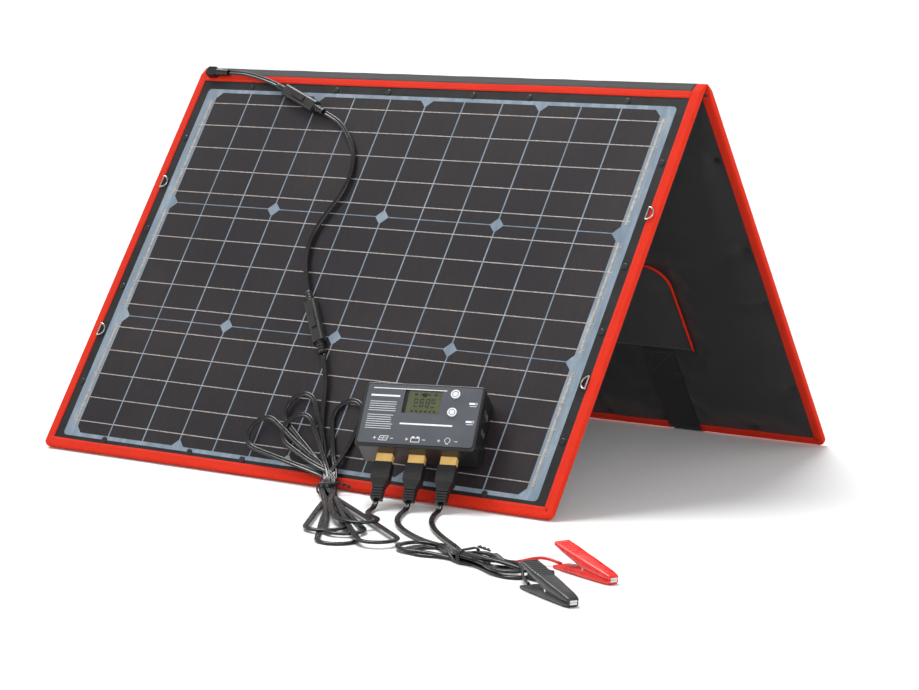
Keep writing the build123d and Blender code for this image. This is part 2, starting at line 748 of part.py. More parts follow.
def load_socket():
    """The load lead's own socket, lying at the end of the battery hank."""
    x, y = BATTERY_TIE
    body = Pos(102.3, 0, 6.0) * Box(20, 16, 9.6)
    body = fillet(body.edges().filter_by(Axis.X), 2.0)
    return Pos(x, y, 0) * Rot(0, 0, BATTERY_HANK_ANGLE) * body


# ================================================================ battery clips
def clip_plane(name):
    """A clip's frame: origin on its pivot, x to the jaw's tip; its underside is level."""
    (x, y), heading = CLIPS[name]
    dip = (CLIP_END - CLIP_TIP) / (CLIP_JAW + CLIP_HANDLE)
    rise = CLIP_HANDLE / (CLIP_JAW + CLIP_HANDLE)
    height = CLIP_END - (CLIP_END - CLIP_TIP) * rise + 0.1
    turned = Plane(
        origin=(x, y, height),
        x_dir=(cos(radians(heading)), sin(radians(heading)), -dip),
        z_dir=(dip * cos(radians(heading)), dip * sin(radians(heading)), 1),
    )
    return turned


def clip_end(name):
    """World point where the wire enters the lower handle of a clip."""
    point = clip_plane(name).location * Pos(-CLIP_HANDLE + 1.0, 0, -CLIP_END + 4.0)
    return tuple(point.position)


def clip_blank():
    """The upper half's outline, stretched across its width; the jaws meet just over z = 0."""
    rise = CLIP_HANDLE * tan(radians(CLIP_HANDLE_ANGLE))
    outline = [
        (CLIP_JAW, CLIP_GAP),
        (CLIP_JAW, CLIP_TIP),
        (-CLIP_HANDLE, CLIP_END),
        (-CLIP_HANDLE, CLIP_GAP + rise),
        (0, CLIP_GAP),
    ]
    face = Plane.XZ * Polygon(*outline, align=None)
    blank = extrude(face, CLIP_WIDTH / 2, both=True)
    top = blank.faces().sort_by(Axis.Z)[-1].edges()
    return fillet(top, 1.2)


def ears(inner, outer, radius):
    return [cross_peg(radius, (inner, outer)), cross_peg(radius, (-outer, -inner))]


def clip_upper():
    """The moving half: a jaw and handle with two outer ears on the pin."""
    shape = clip_blank() - cross_peg(CLIP_EAR_ROOM, (-6.2, 6.2))
    shape += ears(6.45, 8.8, CLIP_EAR)
    return shape - cross_peg(CLIP_PIN + CLIP_PIN_FIT, (-10, 10))


def clip_lower():
    """The fixed half: the same outline turned over, with two inner ears."""
    shape = mirror(clip_blank(), about=Plane.XY)
    shape -= ears(6.2, 9.5, CLIP_EAR_ROOM)
    shape -= cross_peg(4.3, (-3.0, 3.0))
    shape += ears(3.4, 5.95, CLIP_EAR)
    return shape - cross_peg(CLIP_PIN, (-10, 10))


def clip_pins():
    pin = cross_peg(CLIP_PIN, (-8.8, 8.8))
    return Compound(children=[clip_plane(name).location * pin for name in CLIPS])


def clip_springs():
    """The coil of each clip's torsion spring, round its pin."""
    coil_path = Helix(pitch=1.25, height=5.0, radius=2.9, center=(0, 0, -2.5))
    section = Plane(origin=coil_path @ 0, z_dir=coil_path % 0) * Circle(0.5)
    coil = Rot(90, 0, 0) * sweep(section, path=coil_path, is_frenet=True)
    return Compound(children=[clip_plane(name).location * coil for name in CLIPS])


# ================================================================ the whole part
def panel_nodes(side):
    layers = {
        "case_cloth": case_cloth(),
        "stiffener": stiffener(),
        "laminate": laminate(),
        "cells": cells(),
        "binding": binding(side),
        "rivets": rivets(),
        "spine": spine(),
    }
    nodes = {f"{side}_{name}": on_panel(shape, side) for name, shape in layers.items()}
    for hand in ("left", "right"):
        for level in RING_LEVELS:
            nodes[f"{side}_ring_{hand}_{level}"] = on_panel(ring(side, hand, level), side)
    return nodes


def controller_nodes():
    nodes = {
        "controller_back_shell": controller_back_shell(),
        "controller_front_shell": controller_front_shell(),
        "controller_faceplate": controller_faceplate(),
        "controller_board": controller_board(),
        "controller_display": controller_display(),
        "controller_key_upper": controller_key("upper"),
        "controller_key_lower": controller_key("lower"),
        "usb_sockets": usb_sockets(),
        "power_sockets": power_sockets(),
    }
    for index, name in enumerate(PLUG_NAMES):
        nodes[f"{name}_plug"] = plug(index)
    return {name: on_controller(shape) for name, shape in nodes.items()}


def lead_nodes():
    nodes = {
        "panel_lead": panel_lead(),
        "middle_lead": middle_lead(),
        "solar_lead": solar_lead(),
        "battery_lead": battery_lead(),
        "load_lead": load_lead(),
        "red_wire": red_wire(),
        "black_wire": black_wire(),
        "solar_hank": solar_hank(),
        "battery_hank": battery_hank(),
        "cable_ties": cable_ties(),
        "load_socket": load_socket(),
    }
    for name in CONNECTORS:
        for half in ("socket", "plug"):
            nodes[f"{name}_connector_{half}"] = connector(name, half)
    return nodes


def clip_nodes():
    nodes = {"clip_pins": clip_pins(), "clip_springs": clip_springs()}
    for name in CLIPS:
        nodes[f"{name}_clip_lower"] = clip_plane(name).location * clip_lower()
        nodes[f"{name}_clip_upper"] = clip_plane(name).location * clip_upper()
    return nodes


def all_nodes():
    nodes = {}
    nodes.update(panel_nodes("front"))
    nodes.update(panel_nodes("back"))
    nodes["back_pocket"] = on_panel(pocket(), "back")
    nodes["back_pocket_piping"] = on_panel(pocket_piping(), "back")
    nodes["carry_handle"] = carry_handle()
    nodes["junction_box"] = on_panel(junction_box(), "front")
    nodes["lead_gland"] = on_panel(lead_gland(), "front")
    nodes.update(controller_nodes())
    nodes.update(lead_nodes())
    nodes.update(clip_nodes())
    return nodes


def main():
    os.makedirs("parts", exist_ok=True)
    for name, shape in all_nodes().items():
        export_step(shape, f"parts/{name}.step")


if __name__ == "__main__":
    main()
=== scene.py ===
"""Looks of the folding solar panel: cloth, tape, leads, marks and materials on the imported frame."""
import json
import math
import random

import bmesh
import bpy
from mathutils import Matrix, Vector, noise


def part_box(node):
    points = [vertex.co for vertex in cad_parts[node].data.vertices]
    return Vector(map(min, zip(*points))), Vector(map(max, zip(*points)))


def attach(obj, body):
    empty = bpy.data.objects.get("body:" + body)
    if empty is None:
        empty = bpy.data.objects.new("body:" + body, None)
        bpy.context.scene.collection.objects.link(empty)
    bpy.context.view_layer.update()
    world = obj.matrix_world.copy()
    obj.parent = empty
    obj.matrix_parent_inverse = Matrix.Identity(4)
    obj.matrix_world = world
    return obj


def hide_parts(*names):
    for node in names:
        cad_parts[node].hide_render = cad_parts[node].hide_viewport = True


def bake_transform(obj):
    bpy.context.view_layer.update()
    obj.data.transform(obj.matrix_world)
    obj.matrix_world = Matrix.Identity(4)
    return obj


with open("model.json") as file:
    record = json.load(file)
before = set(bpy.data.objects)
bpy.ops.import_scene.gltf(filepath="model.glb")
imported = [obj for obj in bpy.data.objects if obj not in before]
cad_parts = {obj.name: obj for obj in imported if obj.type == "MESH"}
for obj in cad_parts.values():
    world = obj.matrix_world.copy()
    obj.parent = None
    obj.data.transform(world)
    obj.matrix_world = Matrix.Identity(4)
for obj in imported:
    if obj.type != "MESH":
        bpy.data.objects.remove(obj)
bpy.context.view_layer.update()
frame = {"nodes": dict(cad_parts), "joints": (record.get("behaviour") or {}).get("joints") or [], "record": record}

MM = 0.001
UP = Vector((0, 0, 1))
record = frame["record"]
joints = {joint["name"]: joint for joint in frame["joints"]}
mounts = {mount["name"]: mount for mount in record["mounts"]}

# ---------------------------------------------------------------- camera
CAMERA_AZIMUTH = math.radians(36.04)
CAMERA_ELEVATION = math.radians(7.65)
CAMERA_ROLL = math.radians(0.41)
CAMERA_PLACE = Vector((1.9002, -2.5698, 0.5525))
CAMERA_LENS = 105.8

# ---------------------------------------------------------------- panels
HALF_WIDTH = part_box("front_binding")[1].x
PANEL_LENGTH = 530 * MM
CORE = 5.8 * MM
TAPE = 0.9 * MM
TAPE_WIDTH = 12 * MM
SHUT_SLOPE = 2 * math.tan(math.radians(3.0))
SHUT_CLEARANCE = 0.5 * MM
JUNCTION_CENTRE = (-290 * MM, 120 * MM)
JUNCTION_HALF = (36 * MM, 24 * MM)
JUNCTION_DEPTH = 9.1 * MM
CORNER_RADIUS = 8 * MM
SPINE_WIDTH = 12 * MM
RIDGE_TAPE_END = 21 * MM
INNER_TAPE_START = 20 * MM
LINING_EDGE = 4.2 * MM
CREASE_HEIGHT = 4.5 * MM
CREASE_TURN = 0.65
RIDGE = Vector(joints["ridge_fold"]["pos_m"])

# ---------------------------------------------------------------- cells
CELL_ROWS = 3
CELL_COLUMNS = 4
COLUMN_PITCH = 162.2 * MM
ROW_PITCH = 157.3 * MM
CELLS_TOP = 37 * MM
CELL_FACE = CORE + 0.3 * MM
BACKING_HALF_WIDTH = 341 * MM
BACKING_MARGIN = 4.5 * MM
RIBBONS_PER_CELL = 5
RIBBON_WIDTH = 1.1 * MM
COLLECTOR_WIDTH = 3.5 * MM
RIBBON_OVERHANG = 9 * MM

# ---------------------------------------------------------------- rivets
RIVET_X = (62 * MM, 141 * MM, 274 * MM)
RIVET_ROWS = (28 * MM, 513 * MM)
RIVET_SIDE_X = 346 * MM
RIVET_SIDE_S = (104 * MM, 233 * MM, 313 * MM, 443 * MM)

# ---------------------------------------------------------------- pocket and webbing
POCKET_HALF_WIDTH = 223 * MM
POCKET_TOP = 266 * MM
POCKET_BOTTOM = 395 * MM
POCKET_RADIUS = 32 * MM
POCKET_SLACK = 7.2 * MM
PIPING_RADIUS = 1.6 * MM
STRAP_WIDTH = 45 * MM
STRAP_X = 169.5 * MM
WEBBING = 1.6 * MM
GRIP_WIDTH = 23 * MM
HANDLE_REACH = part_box("carry_handle")[1].y

# ---------------------------------------------------------------- leads
LEAD_WIDTH = 6.2 * MM
WIRE_WIDTH = 3.2 * MM
CONNECTOR_N = 12 * MM
CONNECTOR_HALF = 46 * MM
CONNECTORS = {
    "ridge": ((-184 * MM, 45 * MM), (0.929, 0.370)),
    "lower": ((-30 * MM, 338 * MM), (0.586, 0.810)),
}
USB_SOCKET = (66.7 * MM, 14 * MM, 16.4 * MM)
HANK_CENTRE = Vector((0.412, -0.508, 0))
HANK_TURN = math.radians(-12.5)
SOLAR_TIE_CENTRE = Vector((0.088, -0.322, 0))
SOLAR_TIE_TURN = math.radians(-48)
SOLAR_WAIST = ((76, 12), (88, -21), (100, -34))


# ================================================================ frames
def axes(along, up, out, origin):
    """A frame from its x, y and z directions and its origin."""
    matrix = Matrix((along, up, out)).transposed().to_4x4()
    matrix.translation = origin
    return matrix


def panel_matrix(side):
    """Local x along the ridge, y up the slope, z out of the cell face."""
    out = Vector(mounts[f"{side}_right_upper_ring_eye"]["axis"])
    along = Vector((1 if side == "front" else -1, 0, 0))
    return axes(along, out.cross(along), out, RIDGE)


PANEL = {side: panel_matrix(side) for side in ("front", "back")}
OUT = {side: PANEL[side].col[2].to_3d() for side in PANEL}
LEAN = math.acos(PANEL["front"].col[1].z)


def on_panel(side, x, s, n):
    """A panel's point in the shared frame: x along the ridge, s down the slope, n out of the cells."""
    return PANEL[side] @ Vector((x, -s, n))


def controller_matrix():
    """Local x across the box, y up its face, z out of its face; origin at its back."""
    across = Vector(mounts["usb_socket_upper"]["axis"])
    out = -Vector(joints["key_upper_press"]["axis"])
    up = out.cross(across)
    socket = Vector(mounts["usb_socket_upper"]["pos_m"])
    socket_x, socket_y, socket_z = USB_SOCKET
    return axes(across, up, out, socket - across * socket_x - up * socket_y - out * socket_z)


CONTROLLER = controller_matrix()


def clip_matrix(name):
    """Local x to the jaws' tip, z up through the clip; origin on its pivot."""
    tip_way = Vector(mounts[f"{name}_clip_jaws"]["axis"])
    sideways = -Vector(joints[f"{name}_clip_open"]["axis"])
    return axes(tip_way, sideways, tip_way.cross(sideways), Vector(joints[f"{name}_clip_open"]["pos_m"]))


def clamp(value, low=0.0, high=1.0):
    return min(max(value, low), high)


# ================================================================ materials
WAVE_PERIOD = 0.314


def set_stops(ramp, stops):
    """Gives a colour ramp its stops: pairs of a position and a colour."""
    for index, (position, color) in enumerate(stops):
        stop = ramp.elements[index] if index < 2 else ramp.elements.new(position)
        stop.position = position
        stop.color = (*color, 1)


def grey(level):
    return level, level, level


def tinted(color, factor, lift=0.0):
    return tuple(min(1, c * factor + lift) for c in color)


class Look:
    """A material under construction: short calls for its nodes and links."""

    def __init__(self, name, color, roughness, metallic=0.0):
        self.material = bpy.data.materials.new(name)
        self.material.use_nodes = True
        self.tree = self.material.node_tree
        self.shader = self.tree.nodes["Principled BSDF"]
        self.set(Base_Color=(*color, 1), Roughness=roughness, Metallic=metallic)
        self.place = self.node("ShaderNodeTexCoord").outputs["Object"]

    def node(self, kind, **settings):
        node = self.tree.nodes.new(kind)
        for name, value in settings.items():
            setattr(node, name, value)
        return node

    def put(self, socket, value):
        """Links an input to a node's output, or sets it to a plain value."""
        if isinstance(value, bpy.types.NodeSocket):
            self.tree.links.new(value, socket)
        else:
            socket.default_value = value

    def feed(self, node, **values):
        """Fills a node's inputs by name, spaces written as underscores."""
        for name, value in values.items():
            self.put(node.inputs[name.replace("_", " ")], value)
        return node

    def set(self, **values):
        self.feed(self.shader, **values)

    def weighed(self, *pairs):
        """The sum of some nodes' outputs, each times its weight."""
        total = 0.0
        for value, weight in pairs:
            node = self.node("ShaderNodeMath", operation="MULTIPLY_ADD")
            for socket, term in zip(node.inputs, (value, weight, total)):
                self.put(socket, term)
            total = node.outputs[0]
        return total

    def turned(self, angle_x, scale=(1, 1, 1)):
        """The object's coordinates turned about X, to lie in a leaning panel, and scaled."""
        node = self.node("ShaderNodeMapping")
        self.feed(node, Vector=self.place, Rotation=(angle_x, 0, 0), Scale=scale)
        return node.outputs[0]

    def noise(self, scale, detail=2.0, place=None, roughness=0.5):
        node = self.node("ShaderNodeTexNoise")
        self.feed(node, Vector=place or self.place, Scale=scale, Detail=detail, Roughness=roughness)
        return node.outputs["Fac"]

    def ramp(self, value, *stops):
        node = self.node("ShaderNodeValToRGB")
        self.put(node.inputs[0], value)
        set_stops(node.color_ramp, stops)
        return node.outputs[0]

    def waves(self, period, direction, place=None):
        node = self.node("ShaderNodeTexWave", wave_type="BANDS", bands_direction=direction)
        self.feed(node, Vector=place or self.place, Scale=WAVE_PERIOD / period, Distortion=0.0)
        return node.outputs["Fac"]

    def bump(self, height, distance, strength=1.0, target="Normal"):
        node = self.node("ShaderNodeBump")
        self.feed(node, Height=height, Distance=distance, Strength=strength)
        self.put(self.shader.inputs[target], node.outputs[0])


def woven(name, color, thread, roughness, side=None, sheen=0.3, worn=0.25, gloss=0.4):
    """Plain-weave cloth: crossing threads, uneven dye and slightly paler rubbed places."""
    look = Look(name, color, roughness)
    place = look.turned({"front": LEAN - math.pi / 2, "back": math.pi / 2 - LEAN, None: 0.0}[side])
    check = look.weighed((look.waves(thread, "X", place), 0.5), (look.waves(thread, "Y", place), 0.5))
    mixed = look.weighed((look.noise(22, 4, place, 0.6), 0.7), (check, 0.3))
    dark = tinted(color, 1 - worn)
    light = tinted(color, 1 + worn, 0.004)
    look.bump(check, thread * 0.35, 0.6)
    look.set(Base_Color=look.ramp(mixed, (0.25, dark), (0.75, light)),
             Sheen_Weight=sheen, Sheen_Roughness=0.45, Specular_IOR_Level=gloss)
    return look.material


def moulded(name, color, roughness):
    """Moulded plastic with a fine spark-eroded grain and faint handling marks."""
    look = Look(name, color, roughness)
    marks = look.noise(55, 5, None, 0.65)
    low = max(0.05, roughness - 0.08)
    look.set(Base_Color=look.ramp(marks, (0.3, color), (0.8, tinted(color, 1.25, 0.003))),
             Roughness=look.ramp(marks, (0.3, grey(low)), (0.8, grey(roughness + 0.08))))
    look.bump(look.noise(900, 3), 0.03 * MM)
    return look.material


def metal(name, color, roughness, brushed=0):
    """Bare metal with smudges, and with fine brush lines if their scale is given."""
    look = Look(name, color, roughness, 1.0)
    smudges = look.noise(120, 4)
    look.set(Roughness=look.ramp(smudges, (0.3, grey(roughness * 0.7)), (0.8, grey(roughness * 1.5))))
    if brushed:
        look.bump(look.noise(brushed, 2, look.turned(0.0, (1, 12, 1))), 0.02 * MM)
    return look.material


def cable_sheath(name, color, roughness):
    """Soft vinyl sheath: a low gloss with faint dents and dust."""
    look = Look(name, color, roughness)
    dust = look.noise(40, 5, None, 0.7)
    look.set(Base_Color=look.ramp(dust, (0.35, color), (0.8, tinted(color, 1.4, 0.002))),
             Roughness=look.ramp(dust, (0.3, grey(roughness - 0.06)), (0.8, grey(roughness + 0.14))))
    look.bump(look.noise(180, 3), 0.12 * MM, 0.5)
    return look.material


def mottled(name, roughness, cloud, dark, light, upper=0.7, **settings):
    """A look that drifts between two colours; cloud is what its noise takes."""
    mean = [(a + b) / 2 for a, b in zip(dark, light)]
    look = Look(name, mean, roughness)
    look.set(Base_Color=look.ramp(look.noise(*cloud), (0.3, dark), (upper, light)), **settings)
    return look


def clear_film(look):
    """The dimpled clear top film, as a coat over what it covers."""
    look.bump(look.noise(700, 2), 0.04 * MM, 0.5, "Coat Normal")
    look.set(Coat_Weight=0.4, Coat_Roughness=0.2, Coat_IOR=1.40, Specular_IOR_Level=0.2)
    return look.material


def cell_silicon():
    """Dark silicon under a clear textured film, with the fine printed fingers showing."""
    look = Look("cell silicon", (0.02, 0.017, 0.02), 0.42)
    fingers = look.waves(1.9 * MM, "X")
    grain = look.noise(420, 3, look.turned(0.0, (1, 0.12, 0.12)), 0.7)
    tone = look.weighed((look.noise(5.5, 2), 0.55), (grain, 0.35), (fingers, 0.1))
    look.set(Base_Color=look.ramp(tone, (0.25, (0.010, 0.009, 0.013)), (0.5, (0.020, 0.016, 0.019)),
                                  (0.8, (0.038, 0.031, 0.034))))
    return clear_film(look)


def backing_film():
    """Pale blue-grey backing that shows between the cells, streaked where the film is creased."""
    look = Look("backing film", (0.34, 0.42, 0.50), 0.4)
    streaks = look.noise(60, 5, look.turned(0.0, (1, 0.2, 0.2)), 0.75)
    look.set(Base_Color=look.ramp(streaks, (0.3, (0.15, 0.20, 0.25)), (0.5, (0.21, 0.265, 0.325)),
                                  (0.72, (0.33, 0.38, 0.43))))
    return clear_film(look)


def laminate_black():
    look = mottled("laminate black", 0.38, (30, 5, None, 0.6),
                   (0.010, 0.010, 0.011), (0.024, 0.024, 0.026), 0.75)
    return clear_film(look)


def tinned_ribbon():
    return mottled("tinned ribbon", 0.38, (240, 3), (0.30, 0.28, 0.26), (0.52, 0.49, 0.46),
                   Metallic=0.35, Coat_Weight=0.4, Coat_Roughness=0.2).material


def lcd_glass():
    """Olive display glass under a glossy window."""
    return mottled("display glass", 0.18, (260, 3), (0.050, 0.061, 0.023), (0.080, 0.094, 0.038),
                   Coat_Weight=1.0, Coat_Roughness=0.04).material


def plate_film():
    """Printed slate-grey label film with a fine pebbled surface."""
    look = mottled("plate film", 0.45, (35, 4), (0.050, 0.057, 0.070), (0.074, 0.083, 0.098), 0.75)
    look.bump(look.noise(1500, 2), 0.03 * MM, 0.6)
    return look.material


def floor_white():
    return mottled("floor", 0.65, (3, 2), grey(0.855), grey(0.865), Specular_IOR_Level=0.2).material


RED = (0.66, 0.024, 0.006)
BLACK_CLOTH = (0.014, 0.014, 0.015)
MATERIAL = {
    "red_front": woven("red tape front", RED, 0.7 * MM, 0.75, "front", 0.0, 0.10, 0.15),
    "red_back": woven("red tape back", RED, 0.7 * MM, 0.75, "back", 0.0, 0.10, 0.15),
    "red_thread": woven("red thread", (0.62, 0.035, 0.012), 0.3 * MM, 0.6),
    "lining_front": woven("oxford lining front", BLACK_CLOTH, 0.6 * MM, 0.36, "front", 0.10, 0.3),
    "lining_back": woven("oxford lining back", BLACK_CLOTH, 0.6 * MM, 0.36, "back", 0.10, 0.3),
    "pocket": woven("pocket cloth", (0.026, 0.026, 0.026), 0.6 * MM, 0.45, "back", 0.12, 0.3),
    "webbing": woven("webbing", (0.007, 0.007, 0.008), 1.5 * MM, 0.6, None, 0.06, 0.3),
    "black_thread": woven("black thread", (0.02, 0.02, 0.02), 0.3 * MM, 0.5),
    "spine": woven("spine cloth", (0.009, 0.009, 0.009), 0.6 * MM, 0.6, None, 0.05),
    "cells": cell_silicon(),
    "backing": backing_film(),
    "laminate": laminate_black(),
    "stiffener": moulded("stiffener board", (0.05, 0.05, 0.05), 0.7),
    "ribbon": tinned_ribbon(),
    "nickel": metal("nickel", (0.50, 0.49, 0.46), 0.25),
    "zinc": metal("zinc", (0.60, 0.60, 0.60), 0.32, 900),
    "rivet": moulded("rivet black", (0.012, 0.012, 0.012), 0.32),
    "case": moulded("case black", (0.010, 0.010, 0.011), 0.34),
    "plate": plate_film(),
    "ink": moulded("white ink", (0.72, 0.74, 0.76), 0.5),
    "lcd": lcd_glass(),
    "segments": moulded("display segments", (0.012, 0.014, 0.008), 0.25),
    "key": moulded("key rubber", (0.66, 0.70, 0.73), 0.5),
    "board": moulded("board green", (0.01, 0.09, 0.03), 0.3),
    "yellow": moulded("socket amber", (0.84, 0.52, 0.17), 0.38),
    "plug": moulded("plug black", (0.010, 0.010, 0.010), 0.42),
    "connector": moulded("connector black", (0.014, 0.014, 0.014), 0.38),
    "lead": cable_sheath("lead sheath", (0.005, 0.005, 0.005), 0.22),
    "wire_red": cable_sheath("red sheath", (0.55, 0.016, 0.014), 0.34),
    "tie": moulded("tie black", (0.012, 0.012, 0.012), 0.35),
    "clip_red": moulded("clip red", (0.68, 0.016, 0.010), 0.30),
    "clip_black": moulded("clip black", (0.012, 0.012, 0.013), 0.34),
    "floor": floor_white(),
}


# ================================================================ mesh helpers
def added(name, data):
    """A new object in the scene."""
    obj = bpy.data.objects.new(name, data)
    bpy.context.scene.collection.objects.link(obj)
    return obj


def piece(name, verts, faces, material, body, slot=None, smooth=True):
    """A mesh piece in the shared frame, riding on a body."""
    mesh = bpy.data.meshes.new(name)
    mesh.from_pydata([tuple(v) for v in verts], [], faces)
    mesh.validate()
    mesh.materials.append(MATERIAL[material])
    for polygon in mesh.polygons:
        polygon.use_smooth = smooth
    obj = added(name, mesh)
    if body:
        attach(obj, body)
    return obj


def tidy(obj, merge=0.00001):
    """Merges coinciding points, drops empty faces and turns every face outward."""
    grid = bmesh.new()
    grid.from_mesh(obj.data)
    bmesh.ops.remove_doubles(grid, verts=grid.verts, dist=merge)
    bmesh.ops.dissolve_degenerate(grid, edges=grid.edges, dist=merge)
    bmesh.ops.recalc_face_normals(grid, faces=grid.faces)
    grid.to_mesh(obj.data)
    grid.free()
    return obj


def loft(rings, caps=True):
    """Vertices and faces through closed rings of equally many points."""
    count = len(rings[0])
    verts = [point for ring in rings for point in ring]
    faces = []
    for start in range(0, count * (len(rings) - 1), count):
        for i in range(count):
            j = (i + 1) % count
            faces.append((start + i, start + j, start + count + j, start + count + i))
    if caps:
        last = count * (len(rings) - 1)
        faces.append(tuple(reversed(range(count))))
        faces.append(tuple(range(last, last + count)))
    return verts, faces


def grid(columns, rows, place):
    """Vertices and faces of a sheet; place gives the point of a column and a row."""
    wide = columns + 1
    verts = [place(column, row) for row in range(rows + 1) for column in range(wide)]
    faces = []
    for row in range(rows):
        for a in range(row * wide, row * wide + columns):
            faces.append((a, a + 1, a + wide + 1, a + wide))
    return verts, faces


def merged(parts):
    """Joins several (verts, faces) into one."""
    verts, faces = [], []
    for part_verts, part_faces in parts:
        start = len(verts)
        verts += part_verts
        faces += [tuple(start + i for i in face) for face in part_faces]
    return verts, faces


def solid_box(matrix, low, high):
    """Vertices and faces of a box between two corners of a frame."""
    verts = [matrix @ Vector((x, y, z)) for z in (low[2], high[2]) for y in (low[1], high[1])
             for x in (low[0], high[0])]
    faces = [(0, 2, 3, 1), (4, 5, 7, 6), (0, 1, 5, 4), (2, 6, 7, 3), (0, 4, 6, 2), (1, 3, 7, 5)]
    return verts, faces


def rounded_rect(half_x, half_y, radius, steps=4):
    """Points of a rounded rectangle about the origin."""
    points = []
    for quarter in range(4):
        sign_x = 1 if quarter in (0, 3) else -1
        sign_y = 1 if quarter in (0, 1) else -1
        for step in range(steps + 1):
            angle = math.pi / 2 * (quarter + step / steps)
            x = sign_x * (half_x - radius) + radius * math.cos(angle)
            y = sign_y * (half_y - radius) + radius * math.sin(angle)
            points.append((x, y))
    return points


def circle(radius, count):
    angles = [math.tau * i / count for i in range(count)]
    return [(radius * math.cos(angle), radius * math.sin(angle)) for angle in angles]


def ripple_at(x, y, z):
    """Smooth noise between about -1 and 1 at a place."""
    return noise.noise(Vector((x, y, z)))


def even(low, high, steps):
    """Evenly spaced numbers, both ends included."""
    return [low + (high - low) * step / steps for step in range(steps + 1)]


def sweep(points, section, up_at):
    """Rings of a section carried along points; up_at gives the section's own y direction."""
    rings = []
    for index, point in enumerate(points):
        before = points[max(index - 1, 0)]
        after = points[min(index + 1, len(points) - 1)]
        along = (after - before).normalized()
        side = along.cross(up_at(point)).normalized()
        up = side.cross(along).normalized()
        rings.append([point + side * x + up * y for x, y in section])
    return rings


def spline_points(name, points, per_point=6):
    """Points along the smooth NURBS curve that has these control points."""
    curve = bpy.data.curves.new(name, "CURVE")
    curve.dimensions = "3D"
    spline = curve.splines.new("NURBS")
    spline.points.add(len(points) - 1)
    for target, point in zip(spline.points, points):
        target.co = (*point, 1)
    spline.order_u = 3
    spline.use_endpoint_u = True
    spline.resolution_u = per_point
    obj = added(name, curve)
    bpy.context.view_layer.update()
    mesh = bpy.data.meshes.new_from_object(obj)
    found = [vertex.co.copy() for vertex in mesh.vertices]
    bpy.data.objects.remove(obj)
    bpy.data.curves.remove(curve)
    bpy.data.meshes.remove(mesh)
    return found


def thicken(sheet, thickness):
    """Gives a cloth sheet its thickness, half on each side."""
    modifier = sheet.modifiers.new("Cloth thickness", "SOLIDIFY")
    modifier.thickness = thickness
    modifier.offset = 0


# ================================================================ camera, stage and light
def make_camera():
    data = bpy.data.cameras.new("camera")
    data.lens = CAMERA_LENS
    data.sensor_width = 36
    camera = added("camera", data)
    turn = Matrix.Rotation(CAMERA_AZIMUTH, 4, "Z")
    tilt = Matrix.Rotation(math.pi / 2 - CAMERA_ELEVATION, 4, "X")
    roll = Matrix.Rotation(CAMERA_ROLL, 4, "Z")
    camera.matrix_world = Matrix.Translation(CAMERA_PLACE) @ turn @ tilt @ roll
    bpy.context.scene.camera = camera


def make_stage():
    size = 400.0
    corners = [(-size, -size, 0), (size, -size, 0), (size, size, 0), (-size, size, 0)]
    piece("floor", corners, [(0, 1, 2, 3)], "floor", None, smooth=False)


def make_sky():
    """A grey studio sky, brightest at the horizon and dimmest a third of the way up."""
    world = bpy.data.worlds.new("studio")
    bpy.context.scene.world = world
    world.use_nodes = True
    tree = world.node_tree
    way = tree.nodes.new("ShaderNodeTexCoord")
    parts = tree.nodes.new("ShaderNodeSeparateXYZ")
    ramp = tree.nodes.new("ShaderNodeValToRGB")
    tree.links.new(way.outputs["Generated"], parts.inputs[0])
    tree.links.new(parts.outputs["Z"], ramp.inputs[0])
    tree.links.new(ramp.outputs[0], tree.nodes["Background"].inputs[0])
    levels = ((0.06, 1.1), (0.30, 0.78), (0.50, 0.42), (0.85, 0.55))
    set_stops(ramp.color_ramp, [(height, grey(level)) for height, level in levels])


def make_lights():
    """A broad sun from above and a soft fill in front of the tent."""
    make_sky()
    sun = bpy.data.lights.new("key", "SUN")
    sun.energy = 2.9
    sun.angle = math.radians(30)
    added("key", sun).rotation_euler = Vector((-0.45, 0.12, 1.0)).to_track_quat("Z", "Y").to_euler()
    fill = bpy.data.lights.new("front fill", "AREA")
    fill.shape = "DISK"
    fill.size = 1.6
    fill.energy = 30
    place, target = Vector((2.4, -2.0, 1.6)), Vector((0.1, 0, 0.2))
    aim = (target - place).to_track_quat("-Z", "Y")
    added("front fill", fill).matrix_world = Matrix.Translation(place) @ aim.to_matrix().to_4x4()
    bpy.context.scene.view_settings.view_transform = "Standard"
    bpy.context.scene.view_settings.look = "None"


# ================================================================ leads
CREASE_S = 534.9 * MM
CREASE_Y = -300.8 * MM
REST_N = 6.7 * MM
CREASE_BAND = (-318 * MM, -292 * MM)


def surface_up(point):
    """The way up from whatever a lead lies on here: the front panel, or the ground."""
    low, high = CREASE_BAND
    share = clamp((point.y - low) / (high - low))
    return UP.lerp(OUT["front"], share).normalized()


def ground_up(point):
    return UP


def twin_section(width):
    """Outline of a flat twin lead: two round cores side by side with a groove between."""
    radius = width / 4
    outline = []
    for centre, start in ((radius, -140), (-radius, 40)):
        for step in range(9):
            angle = math.radians(start + 280 * step / 8)
            outline.append((centre + radius * math.cos(angle), radius * math.sin(angle)))
    return outline


def lead(name, route, nodes, up_at=ground_up, width=LEAD_WIDTH,
         look="lead", slot="rubber"):
    """A free lead along the smooth curve of its control points: a flat twin one, or a round wire."""
    points = spline_points(name + "_line", route)
    section = twin_section(width) if width == LEAD_WIDTH else circle(width / 2, 12)
    obj = tidy(piece(name, *loft(sweep(points, section, up_at)), look, "front_panel", slot))
    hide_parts(*nodes)
    length = sum((b - a).length for a, b in zip(points, points[1:]))
    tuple(route[0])


def ground_spots(*places):
    """Points of the shared frame given in millimetres."""
    return [Vector([value * MM for value in place]) for place in places]


